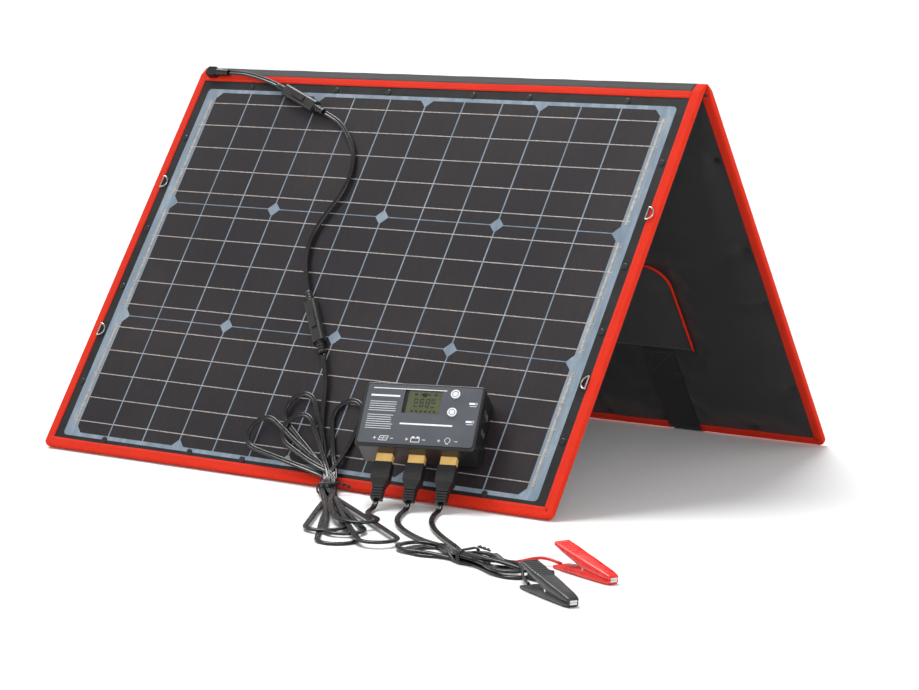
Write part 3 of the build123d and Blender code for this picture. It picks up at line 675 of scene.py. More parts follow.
def panel_spots(*places):
    """Points over the front panel: across, down the slope and out of it, in millimetres."""
    return [on_panel("front", x * MM, s * MM, n * MM) for x, s, n in places]


def hank_spots(*places):
    """Points in the battery hank's own frame, in millimetres."""
    turn = Matrix.Rotation(HANK_TURN, 3, "Z")
    return [HANK_CENTRE + turn @ spot for spot in ground_spots(*places)]


def bent_spots(*places):
    """Points across, along the panel up from its crease with the ground, and up, in millimetres.

    Those with a negative second value lie on the ground in front of the crease."""
    spots = []
    for x, along, lift in places:
        if along >= 0:
            spots.append(on_panel("front", x * MM, CREASE_S - along * MM, REST_N + lift * MM))
        else:
            spots.append(Vector((x * MM, CREASE_Y + along * MM, lift * MM)))
    return spots


def connector_end(name, direction, beyond=0.0):
    """Where a lead leaves a pair of connectors, or further out on their axis."""
    (x, s), (along_x, along_s) = CONNECTORS[name]
    panel = PANEL["front"]
    out = OUT["front"]
    along = (panel.col[0] * along_x - panel.col[1] * along_s).to_3d().normalized()
    matrix = axes(along, out.cross(along), out, on_panel("front", x, s, CONNECTOR_N))
    return matrix @ Vector((direction * (CONNECTOR_HALF + beyond), 0, 0))


def plug_end(index, beyond=0.0):
    """Where the lead leaves a plug below the controller, or further out on its axis."""
    return CONTROLLER @ Vector(((index - 1) * 35.5 * MM, -92.1 * MM - beyond, 15 * MM))


def make_panel_lead():
    route = panel_spots((-316, 11, 11), (-302, 11, 11), (-280, 12.6, 10.5))
    route += [connector_end("ridge", -1, 13 * MM), connector_end("ridge", -1)]
    lead("panel_lead_cord", route, ["panel_lead"],
         surface_up)


def make_middle_lead():
    route = [connector_end("ridge", 1), connector_end("ridge", 1, 20 * MM)]
    route += panel_spots((-106, 78, 10.6), (-77, 107, 9.6), (-65, 137, 9.8), (-67, 169, 9.6),
                         (-79, 197, 9.8), (-87, 225, 9.6), (-83, 255, 10.4))
    route += [connector_end("lower", -1, 16 * MM), connector_end("lower", -1)]
    lead("middle_lead_cord", route, ["middle_lead"],
         surface_up)


def loop_spots(root, loop, lift):
    """Control points once round a teardrop loop, in millimetres: out, round its end and back."""
    tip_x, tip_y, half_width, turn = loop
    root = Vector(root)
    reach = Vector((tip_x, tip_y)) - root
    along = reach.normalized()
    across = Vector((-along.y, along.x)) * turn
    centre = reach.length - half_width
    flare = math.asin(half_width / centre)
    straight = math.sqrt(centre**2 - half_width**2)
    side = [(straight * share * math.cos(flare), straight * share * math.sin(flare))
            for share in (0.45, 1 - 9 / straight)]
    first = math.pi / 2 + flare
    end = [(centre + half_width * math.cos(angle), half_width * math.sin(angle))
           for angle in even(first, -first, 8)]
    spots = []
    for forward, spread in side + end + [(forward, -spread) for forward, spread in reversed(side)]:
        spots.append((*(root + along * forward + across * spread), lift))
    return spots


def lane(index, columns=3, pitch=6.6):
    """Sideways and upward place of one strand in the tied waist of a hank, in millimetres."""
    column = index % columns
    layer = index // columns
    return (column - (columns - 1) / 2) * pitch, 1.7 + layer * 3.4


def solar_strand(index):
    """One strand's three points through the solar hank's waist; every other strand goes up."""
    offset, lift = lane(index)
    stops = [(x + offset * 0.8, y + offset * 0.55, lift + 1.5 * (y > 0)) for x, y in SOLAR_WAIST]
    return stops[::-1] if index % 2 else stops


def make_solar_lead():
    """The lead from the lower connector through its hank to the first plug."""
    upper_loops = ((-60, 60, 20, 1), (-19, 102, 20.5, -1), (59, 108, 20, 1), (-10, 74, 19.8, -1))
    lower_loops = ((218, -186, 20, 1), (264, -221, 20.5, -1), (306, -206, 20, 1), (246, -186, 19.8, -1))
    hank = []
    for index, (lower, upper) in enumerate(zip(lower_loops, upper_loops)):
        down, back = 2 * index, 2 * index + 1
        hank += solar_strand(down) + loop_spots(SOLAR_WAIST[-1], lower, 1.7 + 2.2 * (back % 3))
        hank += solar_strand(back) + loop_spots(SOLAR_WAIST[0], upper, 1.9 + 2.6 * ((back + 1) % 3))
    hank += solar_strand(2 * len(lower_loops))
    route = [connector_end("lower", 1), connector_end("lower", 1, 14 * MM)]
    route += panel_spots((17, 411, 11), (22.5, 430, 10), (31, 456, 10), (45, 486, 10.5))
    route += bent_spots(*hank)
    route += ground_spots((133, -373, 8), (160, -405, 8.5), (182, -430, 8.5), (206, -451, 8.5),
                          (231, -456, 8.5), (245, -439, 8), (234, -419, 7), (214, -407, 6),
                          (199, -393, 4), (189, -377, 3.2))
    route += [plug_end(0, 9 * MM), plug_end(0)]
    lead("solar_lead_cord", route, ["solar_lead", "solar_hank"],
         surface_up)


def hank_route(loops, first_strand):
    """Strands through the battery hank's waist, with a loop at one end and then the other."""
    spots = []
    for index, loop in enumerate(loops, first_strand):
        hand = math.copysign(1, loop[0])
        offset, lift = lane(index, 4, 6.4)
        spots += [(-8 * hand, offset, lift), (8 * hand, offset, lift)]
        spots += loop_spots((16 * hand, offset * 0.8), loop, 1.7 + 2.4 * (index % 3))
    return hank_spots(*spots)


def make_battery_leads():
    loops = ((90, 3, 20, 1), (-94, 1, 20.5, 1), (83, -2, 19.8, -1), (-83, -2, 19.8, -1))
    route = [plug_end(1), plug_end(1, 9 * MM)]
    route += ground_spots((220, -359, 3.3), (228, -376, 3.2), (241, -397, 3.3), (262, -421, 3.2),
                          (290, -443, 3.3), (324, -463, 3.3), (356, -477.5, 5))
    route += hank_spots((-48, 10.5, 8.5), (-28, -1.5, 9.5))
    route += hank_route(loops, 0)
    route += hank_spots((4, 9, 10.5), (26, 11, 10)) + ground_spots((456, -512, 7.8))
    lead("battery_lead_cord", route, ["battery_lead", "battery_hank"])


def make_load_lead():
    loops = ((80, 0, 19.8, -1), (-76, 0, 19.8, -1))
    route = [plug_end(2), plug_end(2, 9 * MM)]
    route += ground_spots((253.5, -348, 3.3), (264, -367, 3.2), (280, -390, 3.3), (303, -415, 3.2),
                          (332, -440, 3.3), (362, -463, 3.3), (384, -484, 5))
    route += hank_spots((-20, 5, 8.5))
    route += hank_route(loops, 5)
    route += hank_spots((-20, -3.5, 4), (-10, -6, 8.5), (4, -9.5, 12), (30, -8, 11.5), (60, -4, 10),
                        (84, -1, 7.2), (92.5, 0, 6))
    lead("load_lead_cord", route, ["load_lead"])


def clip_wire(color, route, look, slot):
    """A single wire from the splitter's sleeve into the lower half of a clip."""
    route = ground_spots(*route) + [clip_matrix(color) @ Vector((-0.047, 0, -0.0095))]
    lead(f"{color}_wire_cord", route, [f"{color}_wire"],
         width=WIRE_WIDTH, look=look, slot=slot)


def make_clip_wires():
    clip_wire("red", ((456, -512, 7.8), (464.5, -507, 7.4), (466.5, -494, 6.8), (468, -480, 7),
                      (477.5, -469, 7.2)), "wire_red", "red_wire")
    clip_wire("black", ((456, -515, 7.8), (474, -520, 12.5), (490, -529, 10), (502, -546, 5.5),
                        (510.5, -556.5, 6.2)), "lead", "rubber")


def make_splitter():
    """Shrink sleeve where the battery lead parts into its red and black wires."""
    points = hank_spots((26, 10.5, 10), (34, 8.5, 9.4)) + ground_spots((453, -513, 8.2), (460, -513, 7.8))
    section = rounded_rect(4.2 * MM, 2.4 * MM, 2.2 * MM)
    verts, faces = loft(sweep(spline_points("splitter_line", points), section, ground_up))
    tidy(piece("lead_splitter", verts, faces, "lead", "front_panel", "rubber"))


def tie_turn(frame_at, x, half_width, height):
    """One turn of a wire tie round a hank's waist, x along the strands."""
    outline = rounded_rect(half_width, height / 2 - 0.5 * MM, 5 * MM, 6)
    loop = [frame_at @ Vector((x, y, z + height / 2 + 0.6 * MM)) for y, z in outline]
    strands = frame_at.col[0].to_3d()
    rings = sweep(loop[-1:] + loop + loop[:1], circle(0.95 * MM, 8), lambda point: strands)[1:-1]
    return loft(rings + rings[:1], caps=False)


def tie_end(frame_at, phase, half_width, height):
    """One of the two ends of a tie, twisted round each other."""
    reach, drop, turns, radius = 15 * MM, 6 * MM, 9.0 / math.tau, 1.0 * MM
    twist = []
    for share in even(0, 1, 24):
        spin = phase + share * turns * math.tau
        z = height + radius - share * drop + radius * math.sin(spin)
        twist.append(frame_at @ Vector((radius * math.cos(spin), half_width + share * reach, z)))
    return loft(sweep(twist, circle(0.8 * MM, 7), ground_up))


def make_ties():
    """Coated wire ties round the hanks' waists, each with two twisted ends."""
    parts = []
    for centre, angle, half_width, height in ((SOLAR_TIE_CENTRE, SOLAR_TIE_TURN, 10.8 * MM, 12.8 * MM),
                                              (HANK_CENTRE, HANK_TURN, 13.5 * MM, 13.5 * MM)):
        frame_at = Matrix.Translation(centre) @ Matrix.Rotation(angle, 4, "Z")
        parts += [tie_turn(frame_at, x, half_width, height) for x in (-1.2 * MM, 1.4 * MM)]
        parts += [tie_end(frame_at, phase, half_width, height) for phase in (0, math.pi)]
    ties = tidy(piece("wire_ties", *merged(parts), "tie", "front_panel", "tie"))
    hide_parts("cable_ties")


# ================================================================ panels
def make_backing(side):
    """The pale film behind the cells, with rounded corners."""
    top = CELLS_TOP - BACKING_MARGIN
    bottom = CELLS_TOP + CELL_ROWS * ROW_PITCH + BACKING_MARGIN
    outline = rounded_rect(BACKING_HALF_WIDTH, (bottom - top) / 2, 5 * MM)
    middle = (top + bottom) / 2
    rings = []
    for n in (CORE - 0.02 * MM, CORE + 0.06 * MM):
        rings.append([on_panel(side, x, middle + y, n) for x, y in outline])
    tidy(piece(f"{side}_backing", *loft(rings), "backing", f"{side}_panel", "laminate", smooth=False))


def make_ribbons(side):
    """Tinned ribbons across every row of cells."""
    parts = []
    cells_half = CELL_COLUMNS * COLUMN_PITCH / 2
    half = cells_half + RIBBON_OVERHANG
    section = rounded_rect(RIBBON_WIDTH / 2, 0.09 * MM, 0.05 * MM, 2)
    for row in range(CELL_ROWS):
        for index in range(RIBBONS_PER_CELL):
            s = CELLS_TOP + ROW_PITCH * (row + (index + 0.5) / RIBBONS_PER_CELL)
            rings = []
            for x in even(-half, half, 48):
                wander = 0.35 * MM * ripple_at(x * 9, s * 40, 0)
                n = CELL_FACE + 0.09 * MM if abs(x) < cells_half else CORE + 0.15 * MM
                rings.append([on_panel(side, x, s + wander + a, n + b) for a, b in section])
            parts.append(loft(rings))
        parts += collectors(side, row, half - RIBBON_OVERHANG / 2)
    tidy(piece(f"{side}_ribbons", *merged(parts), "ribbon", f"{side}_panel", "cells", smooth=False))


def collectors(side, row, x):
    """The broad ribbons at both ends of a row, which its thin ribbons are soldered to."""
    parts = []
    pitch = ROW_PITCH / RIBBONS_PER_CELL
    top = CELLS_TOP + ROW_PITCH * row + pitch * 0.35
    section = rounded_rect(COLLECTOR_WIDTH / 2, 0.12 * MM, 0.05 * MM, 2)
    for hand in (-1, 1):
        rings = []
        for s in even(top, top + ROW_PITCH - pitch * 0.7, 40):
            centre = hand * x + 0.5 * MM * ripple_at(hand, s * 30, 6)
            rings.append([on_panel(side, centre + a, s, CORE + 0.25 * MM + b) for a, b in section])
        parts.append(loft(rings))
    return parts


def side_station(s):
    return lambda inset: (HALF_WIDTH - inset, s)


def corner_station(angle):
    """A station on the rounded corner; further in than its radius the tape's corner is square."""
    def place(inset):
        radius = CORNER_RADIUS - inset
        turn_x, turn_s = (1, 1) if radius <= 0 else (math.cos(angle), math.sin(angle))
        return HALF_WIDTH - CORNER_RADIUS + radius * turn_x, PANEL_LENGTH - CORNER_RADIUS + radius * turn_s
    return place


def bottom_station(x):
    return lambda inset: (x, PANEL_LENGTH - inset)


def mirrored(place):
    return lambda inset: (-place(inset)[0], place(inset)[1])


def tape_stations():
    """Stations down the left edge, along the bottom and up the right edge of a panel.

    Each is a function from the inset (distance in from the outer edge) to (x, s)."""
    near_ridge = [0.3 * MM] + [3 * MM * step for step in range(1, 8)]
    right = [side_station(s) for s in near_ridge + even(28 * MM, PANEL_LENGTH - CORNER_RADIUS, 96)]
    right += [corner_station(math.pi / 2 * step / 6) for step in range(1, 6)]
    span = HALF_WIDTH - CORNER_RADIUS
    bottom = [bottom_station(x) for x in even(-span, span, 144)]
    return [mirrored(place) for place in right] + bottom + right[::-1]


def tape_profile():
    """The folded tape's section: (inset, n) round the outer leg, the fold and the inner leg."""
    low, high = -TAPE, CORE + TAPE
    fold = 2.4 * MM
    quarter = [math.pi / 2 * step / 6 for step in range(1, 6)]
    outer = [(TAPE_WIDTH, CORE + 0.05 * MM), (TAPE_WIDTH, high - 0.25 * MM), (TAPE_WIDTH - 0.3 * MM, high),
             (9 * MM, high + 0.12 * MM), (6 * MM, high + 0.16 * MM), (fold + 0.6 * MM, high)]
    outer += [(fold * (1 - math.sin(angle)), high - fold * (1 - math.cos(angle))) for angle in quarter]
    outer += [(0, high - fold), (0, low + fold)]
    outer += [(fold * (1 - math.cos(angle)), low + fold * (1 - math.sin(angle))) for angle in quarter]
    outer += [(fold + 0.6 * MM, low), (6 * MM, low - 0.1 * MM), (TAPE_WIDTH - 0.3 * MM, low),
              (TAPE_WIDTH, low + 0.25 * MM), (TAPE_WIDTH, -0.05 * MM)]
    return outer


def ridge_squeeze(s, n):
    """Near the ridge the tape thins with the cloth it covers, and its inner leg stops.

    The inner leg stays below the line on which both panels meet when they are folded shut."""
    at_ridge = 2.1 * MM
    if s < SPINE_WIDTH and n > 0:
        n *= (at_ridge + (CORE + TAPE - at_ridge) * s / SPINE_WIDTH) / (CORE + TAPE)
    if n < 0:
        leg = TAPE * clamp((s - 14 * MM) / (6 * MM))
        shut = max(s * SHUT_SLOPE / 2 - 0.12 * MM, 0)
        n = max(n, -min(leg, shut) - 0.02 * MM * (2 * MM < s < INNER_TAPE_START))
    return n


def strap_gap(side, x, s):
    """True where a webbing strap passes over the back panel's bottom edge."""
    if side != "back" or s < PANEL_LENGTH - TAPE_WIDTH - 1 * MM:
        return False
    return abs(abs(x) - STRAP_X) < STRAP_WIDTH / 2 - 3 * MM


def make_binding(side):
    """The folded red tape sewn round both sides and the bottom of a panel."""
    profile = tape_profile()
    seed = 3.0 if side == "front" else 8.0
    rings = []
    for place in tape_stations():
        edge_x, edge_s = place(0)
        ring = []
        for inset, n in profile:
            ripple = ripple_at(edge_x * 22, edge_s * 22, seed)
            wander = ripple_at(edge_x * 9, edge_s * 9, seed + 5)
            lifted = n
            if n > CORE:
                lifted += 0.22 * MM * ripple * min(inset / (6 * MM), 1)
            if inset > TAPE_WIDTH - 1 * MM:
                inset += 0.55 * MM * wander
            x, s = place(inset)
            if strap_gap(side, x, s):
                lifted = max(lifted, 2.4 * MM)
            ring.append(on_panel(side, x, s, ridge_squeeze(s, lifted)))
        rings.append(ring)
    binding = piece(f"{side}_tape", *loft(rings), f"red_{side}", f"{side}_panel", "binding")
    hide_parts(f"{side}_binding")
    return tidy(binding, 0.000002)


def make_ridge_tape(side):
    """The flat tape along the top of a panel, just below the black spine."""
    profile = [(SPINE_WIDTH, CORE), (SPINE_WIDTH, CORE + 0.7 * MM), (SPINE_WIDTH + 0.6 * MM, CORE + TAPE),
               (RIDGE_TAPE_END - 0.6 * MM, CORE + TAPE), (RIDGE_TAPE_END, CORE + 0.7 * MM),
               (RIDGE_TAPE_END, CORE)]
    half = HALF_WIDTH - TAPE_WIDTH + 1 * MM
    rings = []
    for x in even(-half, half, 120):
        ripple = 0.16 * MM * ripple_at(x * 22, 1.5, 2)
        wander = 0.4 * MM * ripple_at(x * 8, 6.5, 2)
        rings.append([on_panel(side, x, s + wander, n + ripple * (n > CORE)) for s, n in profile])
    tidy(piece(f"{side}_ridge_tape", *loft(rings), f"red_{side}", f"{side}_panel", "binding"))


def stitch(start, end, out, radius=0.24 * MM):
    """One stitch: a short thread that rises out of the cloth and dips back in."""
    rings = []
    along = (end - start).normalized()
    across = along.cross(out)
    for share, rise in ((0.0, -0.25), (0.2, 0.6), (0.5, 0.8), (0.8, 0.6), (1.0, -0.25)):
        centre = start.lerp(end, share) + out * radius * rise
        rings.append([centre + (across * a + out * b) for a, b in circle(radius, 5)])
    return loft(rings, caps=False)


def stitch_row(side, start, end, n, pitch, length, out):
    """Stitches from start to end, both (x, s), on a panel's surface at n."""
    parts = []
    run = math.dist(start, end)
    (x0, s0), (x1, s1) = start, end
    for index in range(int(run / pitch + 0.0001)):
        near, far = index * pitch / run, (index * pitch + length) / run
        x, s = x0 + (x1 - x0) * near, s0 + (s1 - s0) * near
        if not strap_gap(side, x, s):
            last = on_panel(side, x0 + (x1 - x0) * far, s0 + (s1 - s0) * far, n)
            parts.append(stitch(on_panel(side, x, s, n), last, out))
    return parts


def make_stitches(side):
    """A row of stitching near the inner edge of the tape, on both faces of the panel."""
    parts = []
    out = OUT[side]
    pitch, length, inset = 4.2 * MM, 3.0 * MM, 9.6 * MM
    edge_x = HALF_WIDTH - inset
    top, bottom = 24 * MM, PANEL_LENGTH - inset
    corners = [(-edge_x, top), (-edge_x, bottom), (edge_x, bottom), (edge_x, top)]
    for start, end in zip(corners, corners[1:]):
        parts += stitch_row(side, start, end, CORE + TAPE + 0.10 * MM, pitch, length, out)
        parts += stitch_row(side, start, end, -TAPE - 0.05 * MM, pitch, length, -out)
    half = HALF_WIDTH - TAPE_WIDTH
    s = (SPINE_WIDTH + RIDGE_TAPE_END) / 2 + 2.4 * MM
    parts += stitch_row(side, (-half, s), (half, s), CORE + TAPE, pitch, length, out)
    piece(f"{side}_stitches", *merged(parts), "red_thread", f"{side}_panel", "binding")


def make_spine():
    """The black cloth hinge: one strip of cloth over the ridge, sewn to both panels."""
    half = HALF_WIDTH - TAPE_WIDTH
    shoulder = [(SPINE_WIDTH - 0.2 * MM, CORE - 0.2 * MM), (9 * MM, 5.0 * MM), (6 * MM, 3.7 * MM),
                (3 * MM, 2.4 * MM), (1 * MM, 1.6 * MM)]
    front = [on_panel("front", 0, s, n) for s, n in shoulder]
    back = [on_panel("back", 0, s, n) for s, n in reversed(shoulder)]
    outer = spline_points("spine_line", front + [Vector((0, 0, RIDGE.z + 1.5 * MM))] + back, 4)
    rings = []
    for x in even(-half, half, 149):
        ring = []
        for index, point in enumerate(outer):
            sag = ripple_at(x * 26, index * 0.35, 4) * 0.35 * MM
            ring.append(Vector((x, point.y, point.z + sag)))
        ring += [Vector((x, point.y * 0.97, point.z - 0.8 * MM)) for point in reversed(outer)]
        rings.append(ring)
    spine = tidy(piece("spine_cloth", *loft(rings), "spine", None, "spine"))
    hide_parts("front_spine", "back_spine")
    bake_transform(spine)


def rivet_places():
    places = [(x * hand, s) for x in RIVET_X for hand in (-1, 1) for s in RIVET_ROWS]
    places += [(RIVET_SIDE_X * hand, s) for s in RIVET_SIDE_S for hand in (-1, 1)]
    return places


def pressed_flat(side, x, s):
    """True where the lining is held down: at rivets, under the pocket and straps, by the box."""
    if any(math.hypot(x - rivet_x, s - rivet_s) < 8 * MM for rivet_x, rivet_s in rivet_places()):
        return True
    if side == "back":
        at_pocket = abs(x) < POCKET_HALF_WIDTH + 4 * MM and POCKET_TOP - 6 * MM < s < POCKET_BOTTOM + 6 * MM
        at_strap = abs(abs(x) - STRAP_X) < STRAP_WIDTH / 2 + 3 * MM and s > POCKET_BOTTOM
        return at_pocket or at_strap
    low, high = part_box("junction_box")
    return low.x - 4 * MM < x < high.x + 4 * MM and 94 * MM < s < 146 * MM


def make_lining(side):
    """The oxford lining: cut a little too large, held at its edges and rivets, and left to pucker."""
    columns, rows = 140, 100
    half = HALF_WIDTH - LINING_EDGE
    top, bottom = SPINE_WIDTH + 0.4 * MM, PANEL_LENGTH - LINING_EDGE
    held = []

    def place(column, row):
        x = -half + 2 * half * column / columns
        s = top + (bottom - top) * row / rows
        at_edge = row in (0, 1, rows, rows - 1) or column in (0, 1, columns, columns - 1)
        held.append(1.0 if at_edge or pressed_flat(side, x, s) else 0.0)
        start = 0.25 * MM + 0.25 * MM * ripple_at(x * 30, s * 30, len(side))
        return on_panel(side, x, s, -start)

    lining = piece(f"{side}_lining", *grid(columns, rows, place), f"lining_{side}", None, "case_cloth")
    pucker(lining, held)
    settle_lining(lining, side, held)
    thicken(lining, 0.35 * MM)
    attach(lining, f"{side}_panel")
    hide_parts(f"{side}_case_cloth")


def pucker(obj, held):
    """Runs a short cloth simulation in which the sheet grows a little and finds its own creases."""
    group = obj.vertex_groups.new(name="held")
    group.add([index for index, weight in enumerate(held) if weight], 1.0, "REPLACE")
    cloth = obj.modifiers.new("Cloth", "CLOTH")
    settings = {"vertex_group_mass": "held", "quality": 6, "mass": 0.25, "tension_stiffness": 18,
                "compression_stiffness": 18, "bending_stiffness": 1.2, "shrink_min": -0.02}
    for name, value in settings.items():
        setattr(cloth.settings, name, value)
    cloth.settings.effector_weights.gravity = 0.15
    frames = 14
    cloth.point_cache.frame_end = frames
    bpy.context.scene.frame_end = frames
    for step in range(1, frames + 1):
        bpy.context.scene.frame_set(step)
    bpy.context.view_layer.objects.active = obj
    bpy.context.view_layer.update()
    shaped = bpy.data.meshes.new_from_object(obj.evaluated_get(bpy.context.evaluated_depsgraph_get()))
    obj.modifiers.clear()
    for target, source in zip(obj.data.vertices, shaped.vertices):
        target.co = source.co
    bpy.data.meshes.remove(shaped)
    bpy.context.scene.frame_set(1)


def crease(x, s):
    """Height of the long soft folds that the lining keeps from being folded up."""
    along = x * math.cos(CREASE_TURN) + s * math.sin(CREASE_TURN)
    across = s * math.cos(CREASE_TURN) - x * math.sin(CREASE_TURN)
    bend = ripple_at(along * 3.2, across * 2.5, 11)
    ridge = 1 - 2.4 * abs(ripple_at(along * 3.5, across * 12 + bend * 1.6, 4))
    where = 0.5 + 1.4 * ripple_at(x * 4.5, s * 4.5, 7)
    return CREASE_HEIGHT * max(ridge, 0) ** 3 * clamp(where)


def fold_room(side, x, s):
    """How far the lining may puff out before it meets what faces it when the tent is folded shut."""
    gap = s * SHUT_SLOPE
    room = gap / 2 - SHUT_CLEARANCE
    if side == "back":
        box_x, box_s = JUNCTION_CENTRE
        away = max(abs(x - box_x) - JUNCTION_HALF[0], abs(s - box_s) - JUNCTION_HALF[1], 0)
        room = min(room, gap - JUNCTION_DEPTH - SHUT_CLEARANCE + 0.35 * away)
    return max(room, 0.3 * MM)


def settle_lining(obj, side, held):
    """Keeps the lining on its own side of the board and under what is sewn over it."""
    back = PANEL[side].inverted()
    for vertex, weight in zip(obj.data.vertices, held):
        local = back @ vertex.co
        if not weight:
            local.z -= crease(local.x, -local.y)
        inset = min(HALF_WIDTH - abs(local.x), PANEL_LENGTH + local.y)
        room = clamp((inset - TAPE_WIDTH - 1 * MM) / (30 * MM))
        deepest = -0.5 * MM if weight else -(0.6 + 5.8 * room) * MM
        deepest = max(deepest, -fold_room(side, vertex.co.x, -local.y))
        local.z = clamp(local.z, deepest, -0.2 * MM)
        vertex.co = PANEL[side] @ local
    soften(obj, held)


def soften(obj, held):
    """Averages free points with their neighbours, so that held places run out gently."""
    mesh = bmesh.new()
    mesh.from_mesh(obj.data)
    free = [vertex for vertex, weight in zip(mesh.verts, held) if not weight]
    for rounds in range(2):
        bmesh.ops.smooth_vert(mesh, verts=free, factor=0.5,
                              use_axis_x=True, use_axis_y=True, use_axis_z=True)
    mesh.to_mesh(obj.data)
    mesh.free()


# ================================================================ pocket and webbing
def pocket_half(s):
    """Half the pocket's width at a level, with its rounded upper corners."""
    drop = POCKET_TOP + POCKET_RADIUS - s
    if drop <= 0:
        return POCKET_HALF_WIDTH
    return POCKET_HALF_WIDTH - POCKET_RADIUS + math.sqrt(max(POCKET_RADIUS**2 - drop**2, 0))


def pocket_point(across, s):
    """A point of the pocket's cloth: sewn down at its sides and foot, slack at its mouth."""
    x = across * pocket_half(s)
    height = (POCKET_BOTTOM - s) / (POCKET_BOTTOM - POCKET_TOP)
    open_share = max(0.0, 1 - abs(across) ** 7) * math.sin(min(height * 1.15, 1) * math.pi / 2)
    waves = 0.22 * ripple_at(x * 14, s * 10, 3)
    ripple = 1 + waves + 0.10 * ripple_at(x * 40, s * 34, 8)
    return on_panel("back", x, s, -0.9 * MM - POCKET_SLACK * open_share * ripple)


def make_pocket():
    columns, rows = 96, 34

    def place(column, row):
        s = POCKET_BOTTOM + (POCKET_TOP - POCKET_BOTTOM) * row / rows
        return pocket_point(2 * column / columns - 1, s)

    pocket = piece("pocket_cloth", *grid(columns, rows, place), "pocket", None, "case_cloth")
    thicken(pocket, 0.7 * MM)
    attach(pocket, "back_panel")
    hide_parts("back_pocket")


def make_piping():
    """Red piping round the pocket: up one side, along the slack mouth and down the other side."""
    inward = -OUT["back"]
    levels = even(POCKET_BOTTOM, POCKET_TOP + POCKET_RADIUS, 14)
    levels += [POCKET_TOP + POCKET_RADIUS * (1 - math.sin(math.pi / 2 * i / 8)) for i in range(1, 9)]
    line = [pocket_point(-1, s) for s in levels]
    line += [pocket_point(across, POCKET_TOP) for across in even(-1, 1, 60)[1:-1]]
    line += [pocket_point(1, s) for s in reversed(levels)]
    line = [point + inward * 0.8 * MM for point in line]
    verts, faces = loft(sweep(line, circle(PIPING_RADIUS, 10), lambda point: inward))
    piping = tidy(piece("pocket_edge_piping", verts, faces, "red_back", "back_panel", "piping"))
    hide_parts("back_pocket_piping")


def webbing_strap(hand):
    """One strap of the handle: down the lining, out under the panel's edge and along the ground."""
    rest = 0.35 * MM + WEBBING / 2
    stops = [on_panel("back", 0, s * MM, -rest) for s in (399, 420, 445, 470, 495, 514)]
    stops += [on_panel("back", 0, 524.5 * MM, -rest - 0.3 * MM)]
    turn_y = on_panel("back", 0, 524 * MM, -rest).y
    stops += [Vector((0, turn_y + 8 * MM, 1.1 * MM)), Vector((0, turn_y + 16 * MM, 1.05 * MM))]
    stops += ground_spots((0, 314, 1.45), (0, 322, 1.35), (0, 330, 1.05), (0, 340, 1.05))
    line = [point + Vector((hand * STRAP_X, 0, 0)) for point in spline_points("strap_line", stops, 5)]
    rings = sweep(line, rounded_rect(STRAP_WIDTH / 2, WEBBING / 2, WEBBING * 0.45, 3), ground_up)
    for point, ring in zip(line, rings):
        wave = 0.5 * MM * ripple_at(point.y * 12, point.z * 12, hand * 3.0)
        for corner in ring:
            corner.x += wave
    return loft(rings)


def handle_grip():
    """The folded grip across both straps, thinner and narrower at its ends."""
    grip_y = HANDLE_REACH - GRIP_WIDTH / 2
    outer = STRAP_X + STRAP_WIDTH / 2
    rings = []
    for x in even(-outer, outer, 80):
        near_end = min((outer - abs(x)) / (16 * MM), 1.0)
        half = GRIP_WIDTH / 2 * math.sqrt(max(1 - (1 - near_end) ** 2, 0.02))
        rise = 2.6 * MM + 0.5 * MM * ripple_at(x * 16, 3, 1)
        section = rounded_rect(half, rise / 2, min(rise * 0.46, half * 0.9), 3)
        y = grip_y + 0.4 * MM * ripple_at(x * 7, 9, 1)
        z = 0.25 * MM + rise / 2 + 1.3 * MM * (near_end > 0.9)
        rings.append([Vector((x, y + a, z + b)) for a, b in section])
    return loft(rings)


def make_handle():
    """The carry handle: two straps down the lining and out under the edge, and a folded grip."""
    parts = [webbing_strap(-1), webbing_strap(1), handle_grip()]
    handle = tidy(piece("carry_webbing", *merged(parts), "webbing", "back_panel", "webbing"))
    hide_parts("carry_handle")


def make_strap_stitches():
    """Box-and-cross stitching where each strap is sewn to the lining, and a short bar below it."""
    parts = []
    n = -(0.35 * MM + WEBBING) - 0.05 * MM
    half = STRAP_WIDTH / 2 - 4 * MM
    for hand in (-1, 1):
        left, right = hand * STRAP_X - half, hand * STRAP_X + half
        for top, bottom, boxed in ((403 * MM, 436 * MM, True), (458 * MM, 462 * MM, False)):
            lines = [((left, top), (right, top)), ((left, bottom), (right, bottom))]
            if boxed:
                lines += [((left, top), (left, bottom)), ((right, top), (right, bottom)),
                          ((left, top), (right, bottom)), ((right, top), (left, bottom))]
            for start, end in lines:
                run = math.dist(start, end)
                pitch = run / int(run / (3.4 * MM))
                parts += stitch_row("back", start, end, n, pitch, 0.7 * pitch, -OUT["back"])
    piece("strap_stitches", *merged(parts), "black_thread", "back_panel", "webbing")


# ================================================================ controller marks
PLATE_FACE = 35.5 * MM
DISPLAY_FACE = 34.22 * MM
SOCKET_X = (-35.5, 0.0, 35.5)


def stroke(*points, width=0.6, closed=False):
    """A printed line of even width through points in the plate's plane, all in millimetres."""
    parts = []
    half = width / 2 * MM
    ends = points + points[:1] if closed else points
    for (x0, y0), (x1, y1) in zip(ends, ends[1:]):
        run = math.hypot(x1 - x0, y1 - y0) * MM
        turn = Matrix.Rotation(math.atan2(y1 - y0, x1 - x0), 4, "Z")
        matrix = CONTROLLER @ Matrix.Translation((x0 * MM, y0 * MM, PLATE_FACE)) @ turn
        parts.append(solid_box(matrix, (-half * 0.6, -half, 0), (run + half * 0.6, half, 0.06 * MM)))
    return parts


def rule(x0, x1, y, width):
    return stroke((x0, y), (x1, y), width=width)


